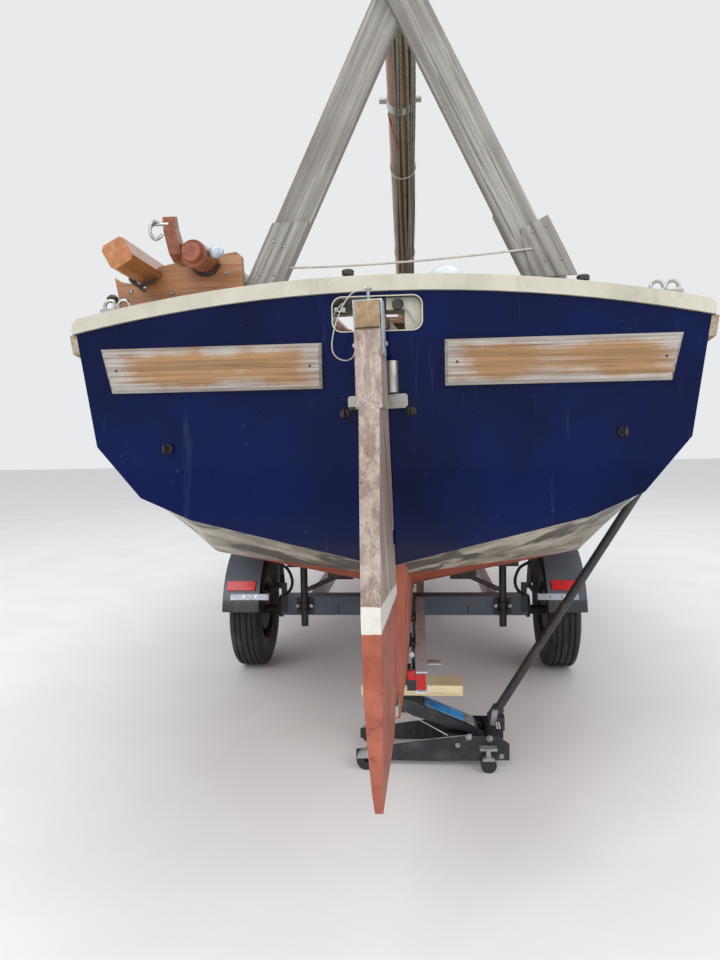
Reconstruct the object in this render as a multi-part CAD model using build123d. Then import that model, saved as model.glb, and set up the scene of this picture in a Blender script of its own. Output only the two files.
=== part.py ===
from build123d import *
import math
import os

# A gaff cutter on its road trailer, with the mast lowered into a crutch over the transom and a
# trolley jack holding up the trailer's tail. All sizes are in millimetres.
# The boat frame used here has X to starboard, Y forward from the transom and Z up from the ground.
# At the end every solid moves along Y, so that the origin lies under the middle of the whole thing.

os.makedirs("parts", exist_ok=True)

# Clearances
SEAT = 0.3            # between two pieces that rest on each other
PIN_FIT = 0.1         # radial, of a pin in the eye that it turns in
FREE = 6.0            # between pieces that move past each other

# Hull
HULL_WALL = 12.0      # laminate of the topsides and bottom
TRANSOM_WALL = 25.0
DECK_THICK = 18.0
CAP_HIGH = 44.0       # deck-edge moulding, above the hull's edge
CAP_OUT = 10.0
CAP_IN = 38.0
CAP_EASE = 16.0       # its eased outer corner
STRAKE_OUT = 20.0
STRAKE_HIGH = 55.0
QUARTER_LEAD_X = 770.0
BOW_LEAD_Y = 5300.0

# One row a station, aft to fore; a half-breadth and a height for each corner of the section
HULL = [
    # y, sheer x, z, chine 1 x, z, chine 2 x, z, chine 3 x, z, keel z, deck camber
    (0, 890, 1520, 841, 1194, 716, 1043, 567, 976, 836, 94),
    (500, 958, 1500, 905, 1160, 790, 945, 655, 822, 692, 92),
    (1000, 1010, 1487, 957, 1125, 855, 870, 720, 728, 572, 90),
    (1800, 1073, 1480, 1020, 1085, 915, 825, 745, 690, 460, 90),
    (2700, 1100, 1497, 1042, 1070, 920, 800, 740, 680, 430, 90),
    (3600, 1048, 1540, 980, 1090, 830, 805, 620, 670, 440, 85),
    (4500, 850, 1610, 745, 1150, 570, 840, 370, 690, 490, 70),
    (5200, 520, 1685, 390, 1230, 245, 925, 140, 770, 600, 44),
    (5750, 45, 1760, 40, 1330, 38, 1050, 36, 900, 790, 6),
]
STEM_Y = HULL[-1][0]

# Keel
KEEL_BOTTOM = 378.0
KEEL_AFT = 25.0       # its after edge, forward of the transom
KEEL_FOOT = 45.0      # where that edge meets the bottom
KEEL_TOE_Y = 4550.0
KEEL_END_Y = 5300.0
KEEL_FLARE = 26.0     # how much wider each side is at the hull than at the bottom
KEEL_PLAN = [         # y, half width at the bottom
    (KEEL_AFT, 30),
    (500, 44),
    (1500, 54),
    (3000, 54),
    (KEEL_TOE_Y, 30),
    (KEEL_END_Y + 300, 12),
]

# Deck openings
AFT_DECK = 300.0
COCKPIT_END = 2380.0
COCKPIT_HALF = 600.0
FOOT_HALF = 270.0
FOOT_START = 520.0
SOLE_Z = 980.0
SEAT_Z = 1240.0
WELL_WALL = 12.0
WELL_TOP = 1485.0
COAMING_THICK = 18.0
COAMING_TOP = 1690.0
COAMING_FOOT = 1400.0
TRUNK_START = COCKPIT_END + 10.0
TRUNK_END = 4120.0
TRUNK_AFT_HALF = 612.0
TRUNK_FORE_HALF = 440.0
TRUNK_SIDE_TOP = 1790.0
TRUNK_CROWN = 95.0
TRUNK_WALL = 14.0
TRUNK_FOOT = 1480.0
PORTLIGHT_YS = (2720.0, 3160.0, 3600.0)
PORTLIGHT_LONG = 250.0
PORTLIGHT_HIGH = 92.0
PORTLIGHT_DROP = 28.0  # below the top of the trunk's side
HATCH_HALF = 250.0
HATCH_START = TRUNK_START
HATCH_LONG = 620.0
HATCH_LID_THICK = 26.0
RUNNER_TOP = 1905.0   # of the hatch's runners
DOOR_THICK = 20.0
DOOR_FOOT = 1262.0
DOOR_ROOM = 20.0      # for a door folded back past square
HINGE_X = HATCH_HALF + 6.0
HINGE_Y = TRUNK_START - 6.0
HINGE_ZS = (1340.0, 1740.0)
KNUCKLE_R = 5.0
KNUCKLE_LONG = 30.0
LOCKER_START = 700.0
LOCKER_LONG = 900.0
LOCKER_IN = 300.0
LOCKER_OUT = 560.0
LID_THICK = 14.0
LID_LAP = 16.0
FOREHATCH_START = 4600.0
FOREHATCH_LONG = 400.0
FOREHATCH_HALF = 190.0
FOREHATCH_LID = 40.0

# Transom
PORT_X = -15.0        # the tiller's port lies a little to port of the middle
PORT_HALF = 125.0
PORT_LOW = 1506.0
PORT_HIGH = 1600.0
PORT_CORNER = 26.0
RIM_WIDE = 3.0
RIM_OUT = 2.0
BOARD_IN = 172.0
BOARD_OUT = 812.0
BOARD_LOW = 1347.0
BOARD_HIGH = 1474.0
BOARD_SLANT = 30.0    # the outer ends follow the hull's side
BOARD_THICK = 22.0
BOARD_BEVEL = 8.0

# Rudder
PINTLE_Y = -50.0      # the axis that the rudder turns about
RUDDER_REST = 2.5     # degrees, after edge to port
RUDDER_LEAN = 1.7     # degrees, head to port
RUDDER_PLUMB_Z = 750.0   # where its leaning axis crosses the middle
BLADE_HALF_FORE = 30.0
BLADE_HALF_AFT = 22.0
HEAD_HALF = 33.0
HEAD_TOP = 1553.0     # over the tiller, inside its strap
HEAD_FOOT = 1280.0
HEAD_FORE_Y = -78.0
HEAD_AFT_TOP = -205.0
BLADE_WIDE_Z = 800.0
BLADE_AFT_WIDE = -430.0
BLADE_AFT_LOW = -470.0
BLADE_BOTTOM = 372.0
BLADE_TIP = 352.0
BLADE_TOE = 468.0     # the lower end of its fore edge
BLADE_THINNED = [     # half thickness, z: it thins towards its tip
    (9, BLADE_TIP - 10), (19, 560), (BLADE_HALF_FORE + 1, BLADE_WIDE_Z),
    (HEAD_HALF + 10, HEAD_FOOT - 200), (HEAD_HALF + 10, HEAD_TOP + 20),
]
PINTLE_R = 7.0
GUDGEON_R = 17.0
GUDGEON_HIGH = 30.0
GUDGEONS = (1306.0, 930.0)
HEEL_GUDGEON = 440.0
BAR_HALVES = (84.0, 24.0)   # of the upper and the lower gudgeon
BAR_EASE = 8.0
BAR_HIGH = 40.0
BAR_THICK = 10.0
STRAP_THICK = 5.0
STRAP_AFT = -186.0
STRAP_LONG = 62.0
STRAP_FOOT = 1418.0
SOCKET_R = 21.0
SOCKET_BORE = 15.0
SOCKET_X = 22.0
SOCKET_Y = -30.0      # a staff in it clears the moulding
SOCKET_LOW = 1330.0
SOCKET_HIGH = 1416.0
TILLER_BUTT_Z = 1517.0
TILLER_BUTT_Y = -198.0
TILLER_TIP_Y = 1000.0
TILLER_SLOPE = 5.2    # it clears the port's lower edge and the after deck
TILLER_PLAN = [        # y, half width, half height
    (TILLER_BUTT_Y, 32, 36),
    (-60, 27, 20),
    (300, 19, 17),
    (TILLER_TIP_Y, 14, 13),
]

# Mast, its tabernacle and its crutch
MAST_R = 52.5
MAST_TOP_R = 36.0
PIVOT_Y = 4220.0
PIVOT_Z = 1962.0
MAST_HEEL = 250.0
MAST_LONG = 5500.0
MAST_TAPER = 4400.0   # from the pivot to where its taper starts
CRUTCH_Y = 150.0
CRUTCH_X = 52.0       # the crutch leans a little to starboard
CRUTCH_VERTEX = 2645.0
LEG_LEAN = 25.8
LEG_WIDE = 100.0
LEG_THICK = 34.0
LEG_FOOT_Z = 1655.0
LEG_HORN = 170.0      # how far the legs run past the crossing
LAP_LONG = 190.0
LAP_THICK = 22.0
CHEEK_THICK = 40.0
CHEEK_GAP = 61.0
CHEEK_FORE = 65.0
CHEEK_OVER = 75.0
PIVOT_R = 10.0
BAND_THICK = 4.0

# Spars on deck
SPAR_BOARD_Y = 108.0
SPAR_BOARD_THICK = 30.0
SPAR_BOARD = [        # x, z of its outline, from its foot inboard; the deck cuts its foot
    (-412, 1560), (-420, 1752), (-434, 1764), (-474, 1758), (-574, 1746), (-670, 1729), (-664, 1708),
    (-718, 1667), (-745, 1680), (-789, 1688), (-808, 1701), (-798, 1642), (-790, 1500),
]
SPRIT_X = -704.0
SPRIT_HALF = 35.0
SPRIT_Z = 1715.0
SPRIT_ROLL = 28.0     # degrees; it lies on one corner
SPRIT_AFT = -130.0
SPRIT_LONG = 2150.0
SPRIT_CHAMFER = 10.0
BOOM_R = 38.0
BOOM_X = -528.0
BOOM_Z = 1740.0
BOOM_AFT = -25.0
BOOM_LONG = 3000.0
BOOM_RISE = 3.12      # degrees; its chock holds it just clear of the coachroof
BOOM_EASE = 24.0
JAW = [               # y, height over the boom's middle
    (60, -22), (60, 16), (-10, 20), (-48, 52), (-62, 84), (-84, 78), (-80, 42), (-40, -10), (-5, -24),
]
GAFF_R = 30.0
GAFF_LONG = 2300.0
GAFF_AFT = (-448.0, 1790.0)
GAFF_FORE = (-300.0, 4040.0)
CHOCK_YS = (2760.0, 3760.0)
CHOCK_THICK = 30.0
SPRIT_CHOCK_Y = 1850.0

# Trailer
AXLE_Y = 1770.0
WHEEL_X = 800.0
TYRE_R = 290.0
TYRE_HALF = 82.0
RIM_R = 166.0
HUB_R = 62.0
DRUM_R = 105.0
BEAM_DEEP = 100.0
BEAM_LOW = 270.0
BEAM_HIGH = 370.0
BEAM_HALF = 650.0
BEAM_WALL = 6.0
RAIL_IN = 72.0
RAIL_OUT = 114.0
RAIL_LOW = 290.0
RAIL_HIGH = 368.0
RAIL_WALL = 5.0
RAIL_START = 500.0
RAIL_END = 4600.0
ROLLER_R = 30.0
ROLLER_YS = (560, 980, 1400, 2200, 2900, 3600, 4300)
ROLLER_HALF = 56.0
SPINDLE_R = 8.0
SIDE_X = 480.0
SIDE_WIDE = 50.0
SIDE_END_Y = 3300.0
DRAWBAR_START = 4750.0
DRAWBAR_END = 6420.0
DRAWBAR_HALF = 40.0
DRAWBAR_LOW = 330.0
DRAWBAR_HIGH = 410.0
POST_X = 520.0
POST_R = 19.0
POST_LOW = 219.0
STAY_IN_X = 310.0
PAD_LONG = 260.0
PAD_WIDE = 130.0
PAD_DEEP = 69.0       # from the hull at its middle to its under side
GUARD_IN = 705.0
GUARD_OUT = 888.0
GUARD_R = 358.0
GUARD_THICK = 5.0
GUARD_LIP = 26.0
GUARD_START = 11.0    # degrees up from the axle's height, aft and fore
STRIP_ANGLE = 22.7
REFLECTOR_ANGLE = 31.5
WINCH_Y = 5990.0
WINCH_TOP = 1060.0
BALL_Y = 6590.0
BALL_Z = 385.0
BALL_R = 25.5
JOCKEY_X = -92.0
JOCKEY_Y = 6150.0
JOCKEY_WHEEL_R = 100.0
JOCKEY_TRAIL = 55.0
JOCKEY_TUBE_R = 24.0

# Trolley jack, lying across the boat
JACK_Y = 640.0
JACK_HALF = 95.0
JACK_PLATE = 6.0
JACK_TAIL_X = 408.0
JACK_NOSE_X = -150.0
JACK_PIVOT_X = 300.0
JACK_PIVOT_Z = 88.0
SADDLE_X = 20.0
PLANK_LOW = 252.0
PLANK_LEFT = -130.0
PLANK_RIGHT = 245.0
PLANK_HALF = 58.0
HANDLE_R = 16.0
HANDLE_START = (382.0, 190.0)
HANDLE_LEAN = 32.2
HANDLE_LONG = 1010.0
CASTOR_R = 28.0

# The whole length, and so the origin, follows from these
MAST_SLOPE = math.degrees(math.atan2(
    CRUTCH_VERTEX + MAST_R / math.sin(math.radians(LEG_LEAN)) - PIVOT_Z, PIVOT_Y - CRUTCH_Y))
MAST_SKEW = math.degrees(math.atan2(CRUTCH_X, PIVOT_Y - CRUTCH_Y))
TRUCK_Y = (PIVOT_Y - MAST_LONG * math.cos(math.radians(MAST_SLOPE)) * math.cos(math.radians(MAST_SKEW))
           - MAST_TOP_R * math.sin(math.radians(MAST_SLOPE)))
NOSE_Y = BALL_Y + 62.0
MIDDLE_Y = (TRUCK_Y + NOSE_Y) / 2


def save(name, *solids):
    """Moves the solids to the part's origin and writes them as one node."""
    placed = [Pos(0, -MIDDLE_Y, 0) * s for s in solids]
    flat = [s for p in placed for s in p.solids()]
    shape = flat[0] if len(flat) == 1 else Compound(children=flat)
    export_step(shape, f"parts/{name}.step")


def box(x0, x1, y0, y1, z0, z1):
    middle = Pos((x0 + x1) / 2, (y0 + y1) / 2, (z0 + z1) / 2)
    return middle * Box(abs(x1 - x0), abs(y1 - y0), abs(z1 - z0))


def prism(axis, points, low, high):
    """A prism along X, Y or Z; its outline is given in the other two, in alphabetical order."""
    if axis == "X":
        corners = [(low, a, b) for a, b in points]
        way = (1, 0, 0)
    elif axis == "Y":
        corners = [(a, low, b) for a, b in points]
        way = (0, 1, 0)
    else:
        corners = [(a, b, low) for a, b in points]
        way = (0, 0, 1)
    return extrude(make_face(Polyline(*corners, close=True)), amount=high - low, dir=way)


def rod(start, end, radius, end_radius=None):
    """A round bar, or a cone, from one point to another."""
    a = Vector(*start)
    b = Vector(*end)
    place = Plane(origin=a, z_dir=b - a)
    if end_radius is None:
        bar = Cylinder(radius, (b - a).length, align=(Align.CENTER, Align.CENTER, Align.MIN))
    else:
        bar = Cone(radius, end_radius, (b - a).length, align=(Align.CENTER, Align.CENTER, Align.MIN))
    return place * bar


def tube(start, end, radius, bore):
    return rod(start, end, radius) - rod(start, end, bore)


def both(solid):
    """A solid and its mirror image on the other side of the boat."""
    return [solid, mirror(solid, about=Plane.YZ)]


def hull_row(y):
    """The hull's corners at any y, by a cubic between the stations of the table."""
    ys = [r[0] for r in HULL]
    k = min(max(sum(1 for s in ys if s <= y) - 1, 0), len(ys) - 2)
    t = (y - ys[k]) / (ys[k + 1] - ys[k])
    row = [y]
    for c in range(1, len(HULL[0])):
        p1, p2 = HULL[k][c], HULL[k + 1][c]
        span = ys[k + 1] - ys[k]
        m1 = (p2 - HULL[k - 1][c]) / (ys[k + 1] - ys[k - 1]) * span if k > 0 else p2 - p1
        m2 = (HULL[k + 2][c] - p1) / (ys[k + 2] - ys[k]) * span if k + 2 < len(ys) else p2 - p1
        row.append(p1 * (2 * t**3 - 3 * t**2 + 1) + m1 * (t**3 - 2 * t**2 + t)
                   + p2 * (3 * t**2 - 2 * t**3) + m2 * (t**3 - t**2))
    return row


def half_section(row, inset=0.0):
    """The starboard half of a section from sheer to keel, moved inwards by the laminate."""
    points = [(row[1], row[2]), (row[3], row[4]), (row[5], row[6]), (row[7], row[8]), (0.0, row[9])]
    if not inset:
        return points
    lines = []
    for (xa, za), (xb, zb) in zip(points, points[1:]):
        long = math.hypot(xb - xa, zb - za)
        nx, nz = (zb - za) / long, -(xb - xa) / long
        lines.append(((xa + nx * inset, za + nz * inset), (xb - xa, zb - za)))
    moved = [(points[0][0] - inset, points[0][1])]
    for (p, d), (q, e) in zip(lines, lines[1:]):
        cross = d[0] * e[1] - d[1] * e[0]
        s = ((q[0] - p[0]) * e[1] - (q[1] - p[1]) * e[0]) / cross
        moved.append((p[0] + d[0] * s, p[1] + d[1] * s))
    (px, pz), (dx, dz) = lines[-1]
    moved.append((0.0, pz - px * dz / dx))
    return moved


def hull_loft(ys, inset=0.0, lift=0.0):
    """The hull's body between the given stations, with its cambered top raised by lift."""
    wires = []
    for y in ys:
        row = hull_row(y)
        half = half_section(row, inset)
        port = [(-x, z) for x, z in half[-2::-1]]
        corners = [(x, y, z) for x, z in half + port]
        top = ThreePointArc((-half[0][0], y, half[0][1] + lift), (0, y, row[2] + row[10] + lift),
                            (half[0][0], y, half[0][1] + lift))
        edges = list(Polyline(*corners).edges())
        if lift:
            edges.append(Line(corners[-1], (-half[0][0], y, half[0][1] + lift)).edge())
            edges.append(Line((half[0][0], y, half[0][1] + lift), corners[0]).edge())
        wires.append(Wire(edges + [top.edge()]))
    return Solid.make_loft(wires)


def deck_slab(ys, out, low, high, ease=0.0):
    """A cambered slab that follows the sheer, from low to high above the hull's edge."""
    wires = []
    for y in ys:
        row = hull_row(y)
        x = max(row[1] + out, 4.0)
        z = row[2]
        crown = z + row[10]
        ends = [(x, y, z + low), (x, y, z + high - ease), (x - ease, y, z + high)]
        if not ease:
            ends = ends[:2]
        port = [(-a, b, c) for a, b, c in ends]
        top = ThreePointArc(ends[-1], (0, y, crown + high), port[-1])
        bottom = ThreePointArc(port[0], (0, y, crown + low), ends[0])
        edges = list(Polyline(*ends).edges()) + [top.edge()]
        edges += list(Polyline(*port[::-1]).edges()) + [bottom.edge()]
        wires.append(Wire(edges))
    return Solid.make_loft(wires)


def deck_z(x, y):
    """Height of the deck's upper face."""
    row = hull_row(y)
    half = row[1]
    return row[2] + row[10] * (1 - (x / half) ** 2) + DECK_THICK


def bottom_z(x, y):
    """Height of the hull's outer face under a point."""
    points = half_section(hull_row(y))
    for (xa, za), (xb, zb) in zip(points, points[1:]):
        if xb <= abs(x) <= xa:
            return zb + (za - zb) * (abs(x) - xb) / (xa - xb)
    return points[0][1]


STATIONS = [r[0] for r in HULL]

hull_outer = hull_loft(STATIONS)
hull_inner = hull_loft([TRANSOM_WALL] + STATIONS[1:-1], HULL_WALL, 400)


def rounded_port(half, low, high, corner, y0, y1):
    outline = RectangleRounded(2 * half, high - low, corner)
    return extrude(Plane((PORT_X, y0, (low + high) / 2), x_dir=(1, 0, 0), z_dir=(0, 1, 0)) * outline,
                   amount=y1 - y0)


def hull_shell():
    port = rounded_port(PORT_HALF, PORT_LOW, PORT_HIGH, PORT_CORNER, -10, TRANSOM_WALL + 10)
    save("hull_shell", hull_outer - hull_inner - port)


def keel_body():
    lower = [(w, y) for y, w in KEEL_PLAN] + [(-w, y) for y, w in KEEL_PLAN[::-1]]
    upper = [(w + KEEL_FLARE, y) for y, w in KEEL_PLAN] + [(-w - KEEL_FLARE, y) for y, w in KEEL_PLAN[::-1]]
    top_z = 900.0
    body = Solid.make_loft([
        Polyline(*[(x, y, KEEL_BOTTOM) for x, y in lower], close=True).wire(),
        Polyline(*[(x, y, top_z) for x, y in upper], close=True).wire(),
    ], True)
    profile = prism("X", [
        (KEEL_AFT, top_z), (KEEL_FOOT, KEEL_BOTTOM), (KEEL_TOE_Y, KEEL_BOTTOM),
        (KEEL_END_Y, bottom_z(0, KEEL_END_Y) + 20), (KEEL_END_Y, top_z),
    ], -200, 200)
    return (body & profile) - hull_outer


keel = keel_body()


def long_keel():
    save("long_keel", keel)


def trunk_outline(inset, start, end):
    """Plan of the cabin trunk, as corners."""
    def half(y):
        t = (y - TRUNK_START) / (TRUNK_END - TRUNK_START)
        return TRUNK_AFT_HALF + (TRUNK_FORE_HALF - TRUNK_AFT_HALF) * t - inset
    return [(half(start), start), (half(end), end), (-half(end), end), (-half(start), start)]


deck_panel = deck_slab([CAP_IN] + STATIONS[1:-1] + [STEM_Y - 80], -CAP_IN - SEAT, 0, DECK_THICK) - hull_outer
hatch_rim_z = deck_z(0, FOREHATCH_START + FOREHATCH_LONG) + 12


def deck():
    well = box(-COCKPIT_HALF - COAMING_THICK - SEAT, COCKPIT_HALF + COAMING_THICK + SEAT,
               AFT_DECK, COCKPIT_END + 2, 1300, 2000)
    cabin = prism("Z", trunk_outline(-SEAT, COCKPIT_END, TRUNK_END + SEAT), 1300, 2000)
    y0, y1 = FOREHATCH_START, FOREHATCH_START + FOREHATCH_LONG
    rim = box(-FOREHATCH_HALF - 14, FOREHATCH_HALF + 14, y0 - 14, y1 + 14, deck_z(0, y0) - 30, hatch_rim_z)
    hatch = box(-FOREHATCH_HALF, FOREHATCH_HALF, y0, y1, 1300, 2000)
    save("deck", deck_panel + rim - well - cabin - hatch)


def deck_edge_cap():
    outer = deck_slab([-CAP_OUT] + STATIONS[1:-1] + [STEM_Y + 8], CAP_OUT, SEAT, CAP_HIGH, CAP_EASE)
    inner = deck_slab([CAP_IN - SEAT] + STATIONS[1:-1] + [STEM_Y - 80 + SEAT], -CAP_IN, -30, CAP_HIGH + 60)
    rim = rounded_port(PORT_HALF + RIM_WIDE, PORT_LOW - RIM_WIDE, PORT_HIGH + RIM_WIDE,
                       PORT_CORNER + RIM_WIDE, -RIM_OUT, 0)
    rim -= rounded_port(PORT_HALF, PORT_LOW, PORT_HIGH, PORT_CORNER, -RIM_OUT - 1, 1)
    save("deck_edge_cap", outer - inner, rim)


def strake_body():
    wires = []
    for y in STATIONS[:-1] + [STEM_Y - 20]:
        row = hull_row(y)
        x, z = row[1], row[2] - 1
        drop = STRAKE_HIGH / (row[2] - row[4])
        low = x + (row[3] - row[1]) * drop
        wires.append(Polyline((x - 8, y, z), (x + STRAKE_OUT, y, z), (low + STRAKE_OUT, y, z - STRAKE_HIGH),
                              (low - 8, y, z - STRAKE_HIGH), close=True).wire())
    return Solid.make_loft(wires) - hull_outer


strake = strake_body()


def rubbing_strakes():
    save("rubbing_strakes", *both(strake))


def cockpit_well():
    w = WELL_WALL
    outer = box(-COCKPIT_HALF, COCKPIT_HALF, AFT_DECK, COCKPIT_END, SEAT_Z - w, WELL_TOP)
    outer += box(-FOOT_HALF - w, FOOT_HALF + w, FOOT_START - w, COCKPIT_END, SOLE_Z - w, SEAT_Z)
    inner = box(-COCKPIT_HALF + w, COCKPIT_HALF - w, AFT_DECK + w, COCKPIT_END - w, SEAT_Z, WELL_TOP + 9)
    inner += box(-FOOT_HALF, FOOT_HALF, FOOT_START, COCKPIT_END - w, SOLE_Z, SEAT_Z + 1)
    tub = outer - inner
    for side in (-1, 1):
        tub -= box(side * LOCKER_IN, side * LOCKER_OUT, LOCKER_START, LOCKER_START + LOCKER_LONG,
                   SEAT_Z - w - 5, SEAT_Z + 5)
    doorway = HATCH_HALF + DOOR_ROOM
    tub -= box(-doorway, doorway, COCKPIT_END - w - 2, COCKPIT_END + 2, DOOR_FOOT, WELL_TOP + 5)
    for h in both(hinge_frame(HINGE_ZS[0], COCKPIT_END - 1, HINGE_Y - 1)):
        tub += h
    save("cockpit_well", tub)


def coamings():
    board = prism("X", [
        (AFT_DECK + 2, COAMING_FOOT), (COCKPIT_END, COAMING_FOOT), (COCKPIT_END, COAMING_TOP + 60),
        (COCKPIT_END - 260, COAMING_TOP), (AFT_DECK + 160, COAMING_TOP - 25),
        (AFT_DECK + 2, deck_z(COCKPIT_HALF, AFT_DECK) + 10),
    ], COCKPIT_HALF + SEAT, COCKPIT_HALF + COAMING_THICK)
    save("coamings", *both(board))


def roof_slab(inset, start, end, lift, depth):
    """A cambered roof panel over the trunk's plan."""
    wires = []
    for y in (start, end):
        half = trunk_outline(inset, y, end)[0][0]
        crown = TRUNK_CROWN * (half / TRUNK_AFT_HALF)
        top = TRUNK_SIDE_TOP + lift
        arc = ThreePointArc((half, y, top), (0, y, top + crown), (-half, y, top))
        sides = Polyline((-half, y, top), (-half, y, top - depth), (half, y, top - depth), (half, y, top))
        wires.append(Wire([arc.edge()] + list(sides.edges())))
    return Solid.make_loft(wires, True)


def portlights(grow, x_in, x_out):
    """Solids through the trunk's sides at its portlights, for holes, glass or frames."""
    found = []
    z = TRUNK_SIDE_TOP - PORTLIGHT_DROP - PORTLIGHT_HIGH / 2
    for y in PORTLIGHT_YS:
        half = trunk_outline(0, y, TRUNK_END)[0][0]
        for side in (-1, 1):
            lean = math.degrees(math.atan2(TRUNK_AFT_HALF - TRUNK_FORE_HALF, TRUNK_END - TRUNK_START))
            place = Plane((side * half, y, z), x_dir=(-side * math.sin(math.radians(lean)),
                                                         math.cos(math.radians(lean)), 0),
                          z_dir=(side * math.cos(math.radians(lean)),
                                 side * side * math.sin(math.radians(lean)), 0))
            outline = SlotOverall(PORTLIGHT_LONG + 2 * grow, PORTLIGHT_HIGH + 2 * grow)
            found.append(place * Pos(0, 0, x_in) * extrude(outline, amount=x_out - x_in))
    return found


def coachroof():
    body = roof_slab(0, TRUNK_START, TRUNK_END, 0, TRUNK_SIDE_TOP - TRUNK_FOOT)
    room = roof_slab(TRUNK_WALL, TRUNK_START + TRUNK_WALL, TRUNK_END - TRUNK_WALL, -TRUNK_WALL,
                     TRUNK_SIDE_TOP - TRUNK_FOOT + 50)
    shell = body - room
    for hole in portlights(0, -TRUNK_WALL - 20, 20):
        shell -= hole
    shell -= box(-HATCH_HALF, HATCH_HALF, TRUNK_START - 5, HATCH_START + HATCH_LONG - 60, 1780, 2100)
    shell -= box(-HATCH_HALF, HATCH_HALF, TRUNK_START - 5, TRUNK_START + TRUNK_WALL + 5, 1300, 1900)
    runner = box(HATCH_HALF + 8, HATCH_HALF + 30, HATCH_START, HATCH_START + 2 * HATCH_LONG - 80, 1860, RUNNER_TOP)
    for r in both(runner):
        shell += r - room
    for h in both(hinge_frame(HINGE_ZS[1], HINGE_Y + 2.5, TRUNK_START + 1)):
        shell += h
    save("coachroof", shell)


def portlight_glass():
    save("portlight_glass", *portlights(-SEAT, -10, -4))
    rings = [big - small for big, small in zip(portlights(14, SEAT, 6), portlights(0, -1, 7))]
    save("portlight_frames", *rings)


def companion_hatch():
    low = RUNNER_TOP + SEAT
    lid = box(-HATCH_HALF - 30, HATCH_HALF + 30, HATCH_START - 18, HATCH_START + HATCH_LONG, low,
              low + HATCH_LID_THICK)
    save("companion_hatch", fillet(lid.edges().group_by(Axis.Z)[-1], 12))


def hinge_frame(z, y0, y1):
    """The frame's half of a door's hinge, on the starboard side."""
    low, high = z + KNUCKLE_LONG + SEAT, z + 2 * KNUCKLE_LONG
    knuckle = rod((HINGE_X, HINGE_Y, low), (HINGE_X, HINGE_Y, high), KNUCKLE_R)
    return knuckle + box(HINGE_X, HINGE_X + 30, y0, y1, low, high)


def companion_doors():
    top = 1840.0
    for name, side in (("door_port", -1), ("door_starboard", 1)):
        leaf = box(side * 3, side * (HATCH_HALF - 4), TRUNK_START + 2, TRUNK_START + 2 + DOOR_THICK,
                   DOOR_FOOT + FREE, top)
        panel = box(side * 40, side * (HATCH_HALF - 40), TRUNK_START, TRUNK_START + 7, DOOR_FOOT + 60, top - 60)
        leaf -= panel
        for z in HINGE_ZS:
            high = z + KNUCKLE_LONG
            leaf += rod((side * HINGE_X, HINGE_Y, z), (side * HINGE_X, HINGE_Y, high), KNUCKLE_R)
            leaf += box(side * (HATCH_HALF - 36), side * (HATCH_HALF - 6), HINGE_Y + 2.5, HINGE_Y + 8.5, z, high)
            leaf += box(side * (HATCH_HALF - 8), side * HINGE_X, HINGE_Y + 2.5, HINGE_Y + 5.5, z, high)
        save(name, leaf)


def locker_lids():
    for name, side in (("locker_lid_port", -1), ("locker_lid_starboard", 1)):
        lid = box(side * (LOCKER_IN - LID_LAP), side * (LOCKER_OUT + LID_LAP), LOCKER_START - LID_LAP,
                  LOCKER_START + LOCKER_LONG + LID_LAP, SEAT_Z + SEAT, SEAT_Z + SEAT + LID_THICK)
        save(name, fillet(lid.edges().group_by(Axis.Z)[-1], 4))


def forehatch():
    base = hatch_rim_z + SEAT
    lid = box(-FOREHATCH_HALF - 20, FOREHATCH_HALF + 20, FOREHATCH_START - 20,
              FOREHATCH_START + FOREHATCH_LONG + 20, base, base + FOREHATCH_LID)
    save("forehatch", fillet(lid.edges().group_by(Axis.Z)[-1], 14))


def name_boards():
    points = [(BOARD_IN, BOARD_LOW), (BOARD_OUT - BOARD_SLANT, BOARD_LOW), (BOARD_OUT, BOARD_HIGH),
              (BOARD_IN, BOARD_HIGH)]
    board = prism("Y", points, -BOARD_THICK, -SEAT)
    face = board.faces().sort_by(Axis.Y)[0]
    board = chamfer(face.edges(), BOARD_BEVEL)
    save("name_boards", *both(board))


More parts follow.
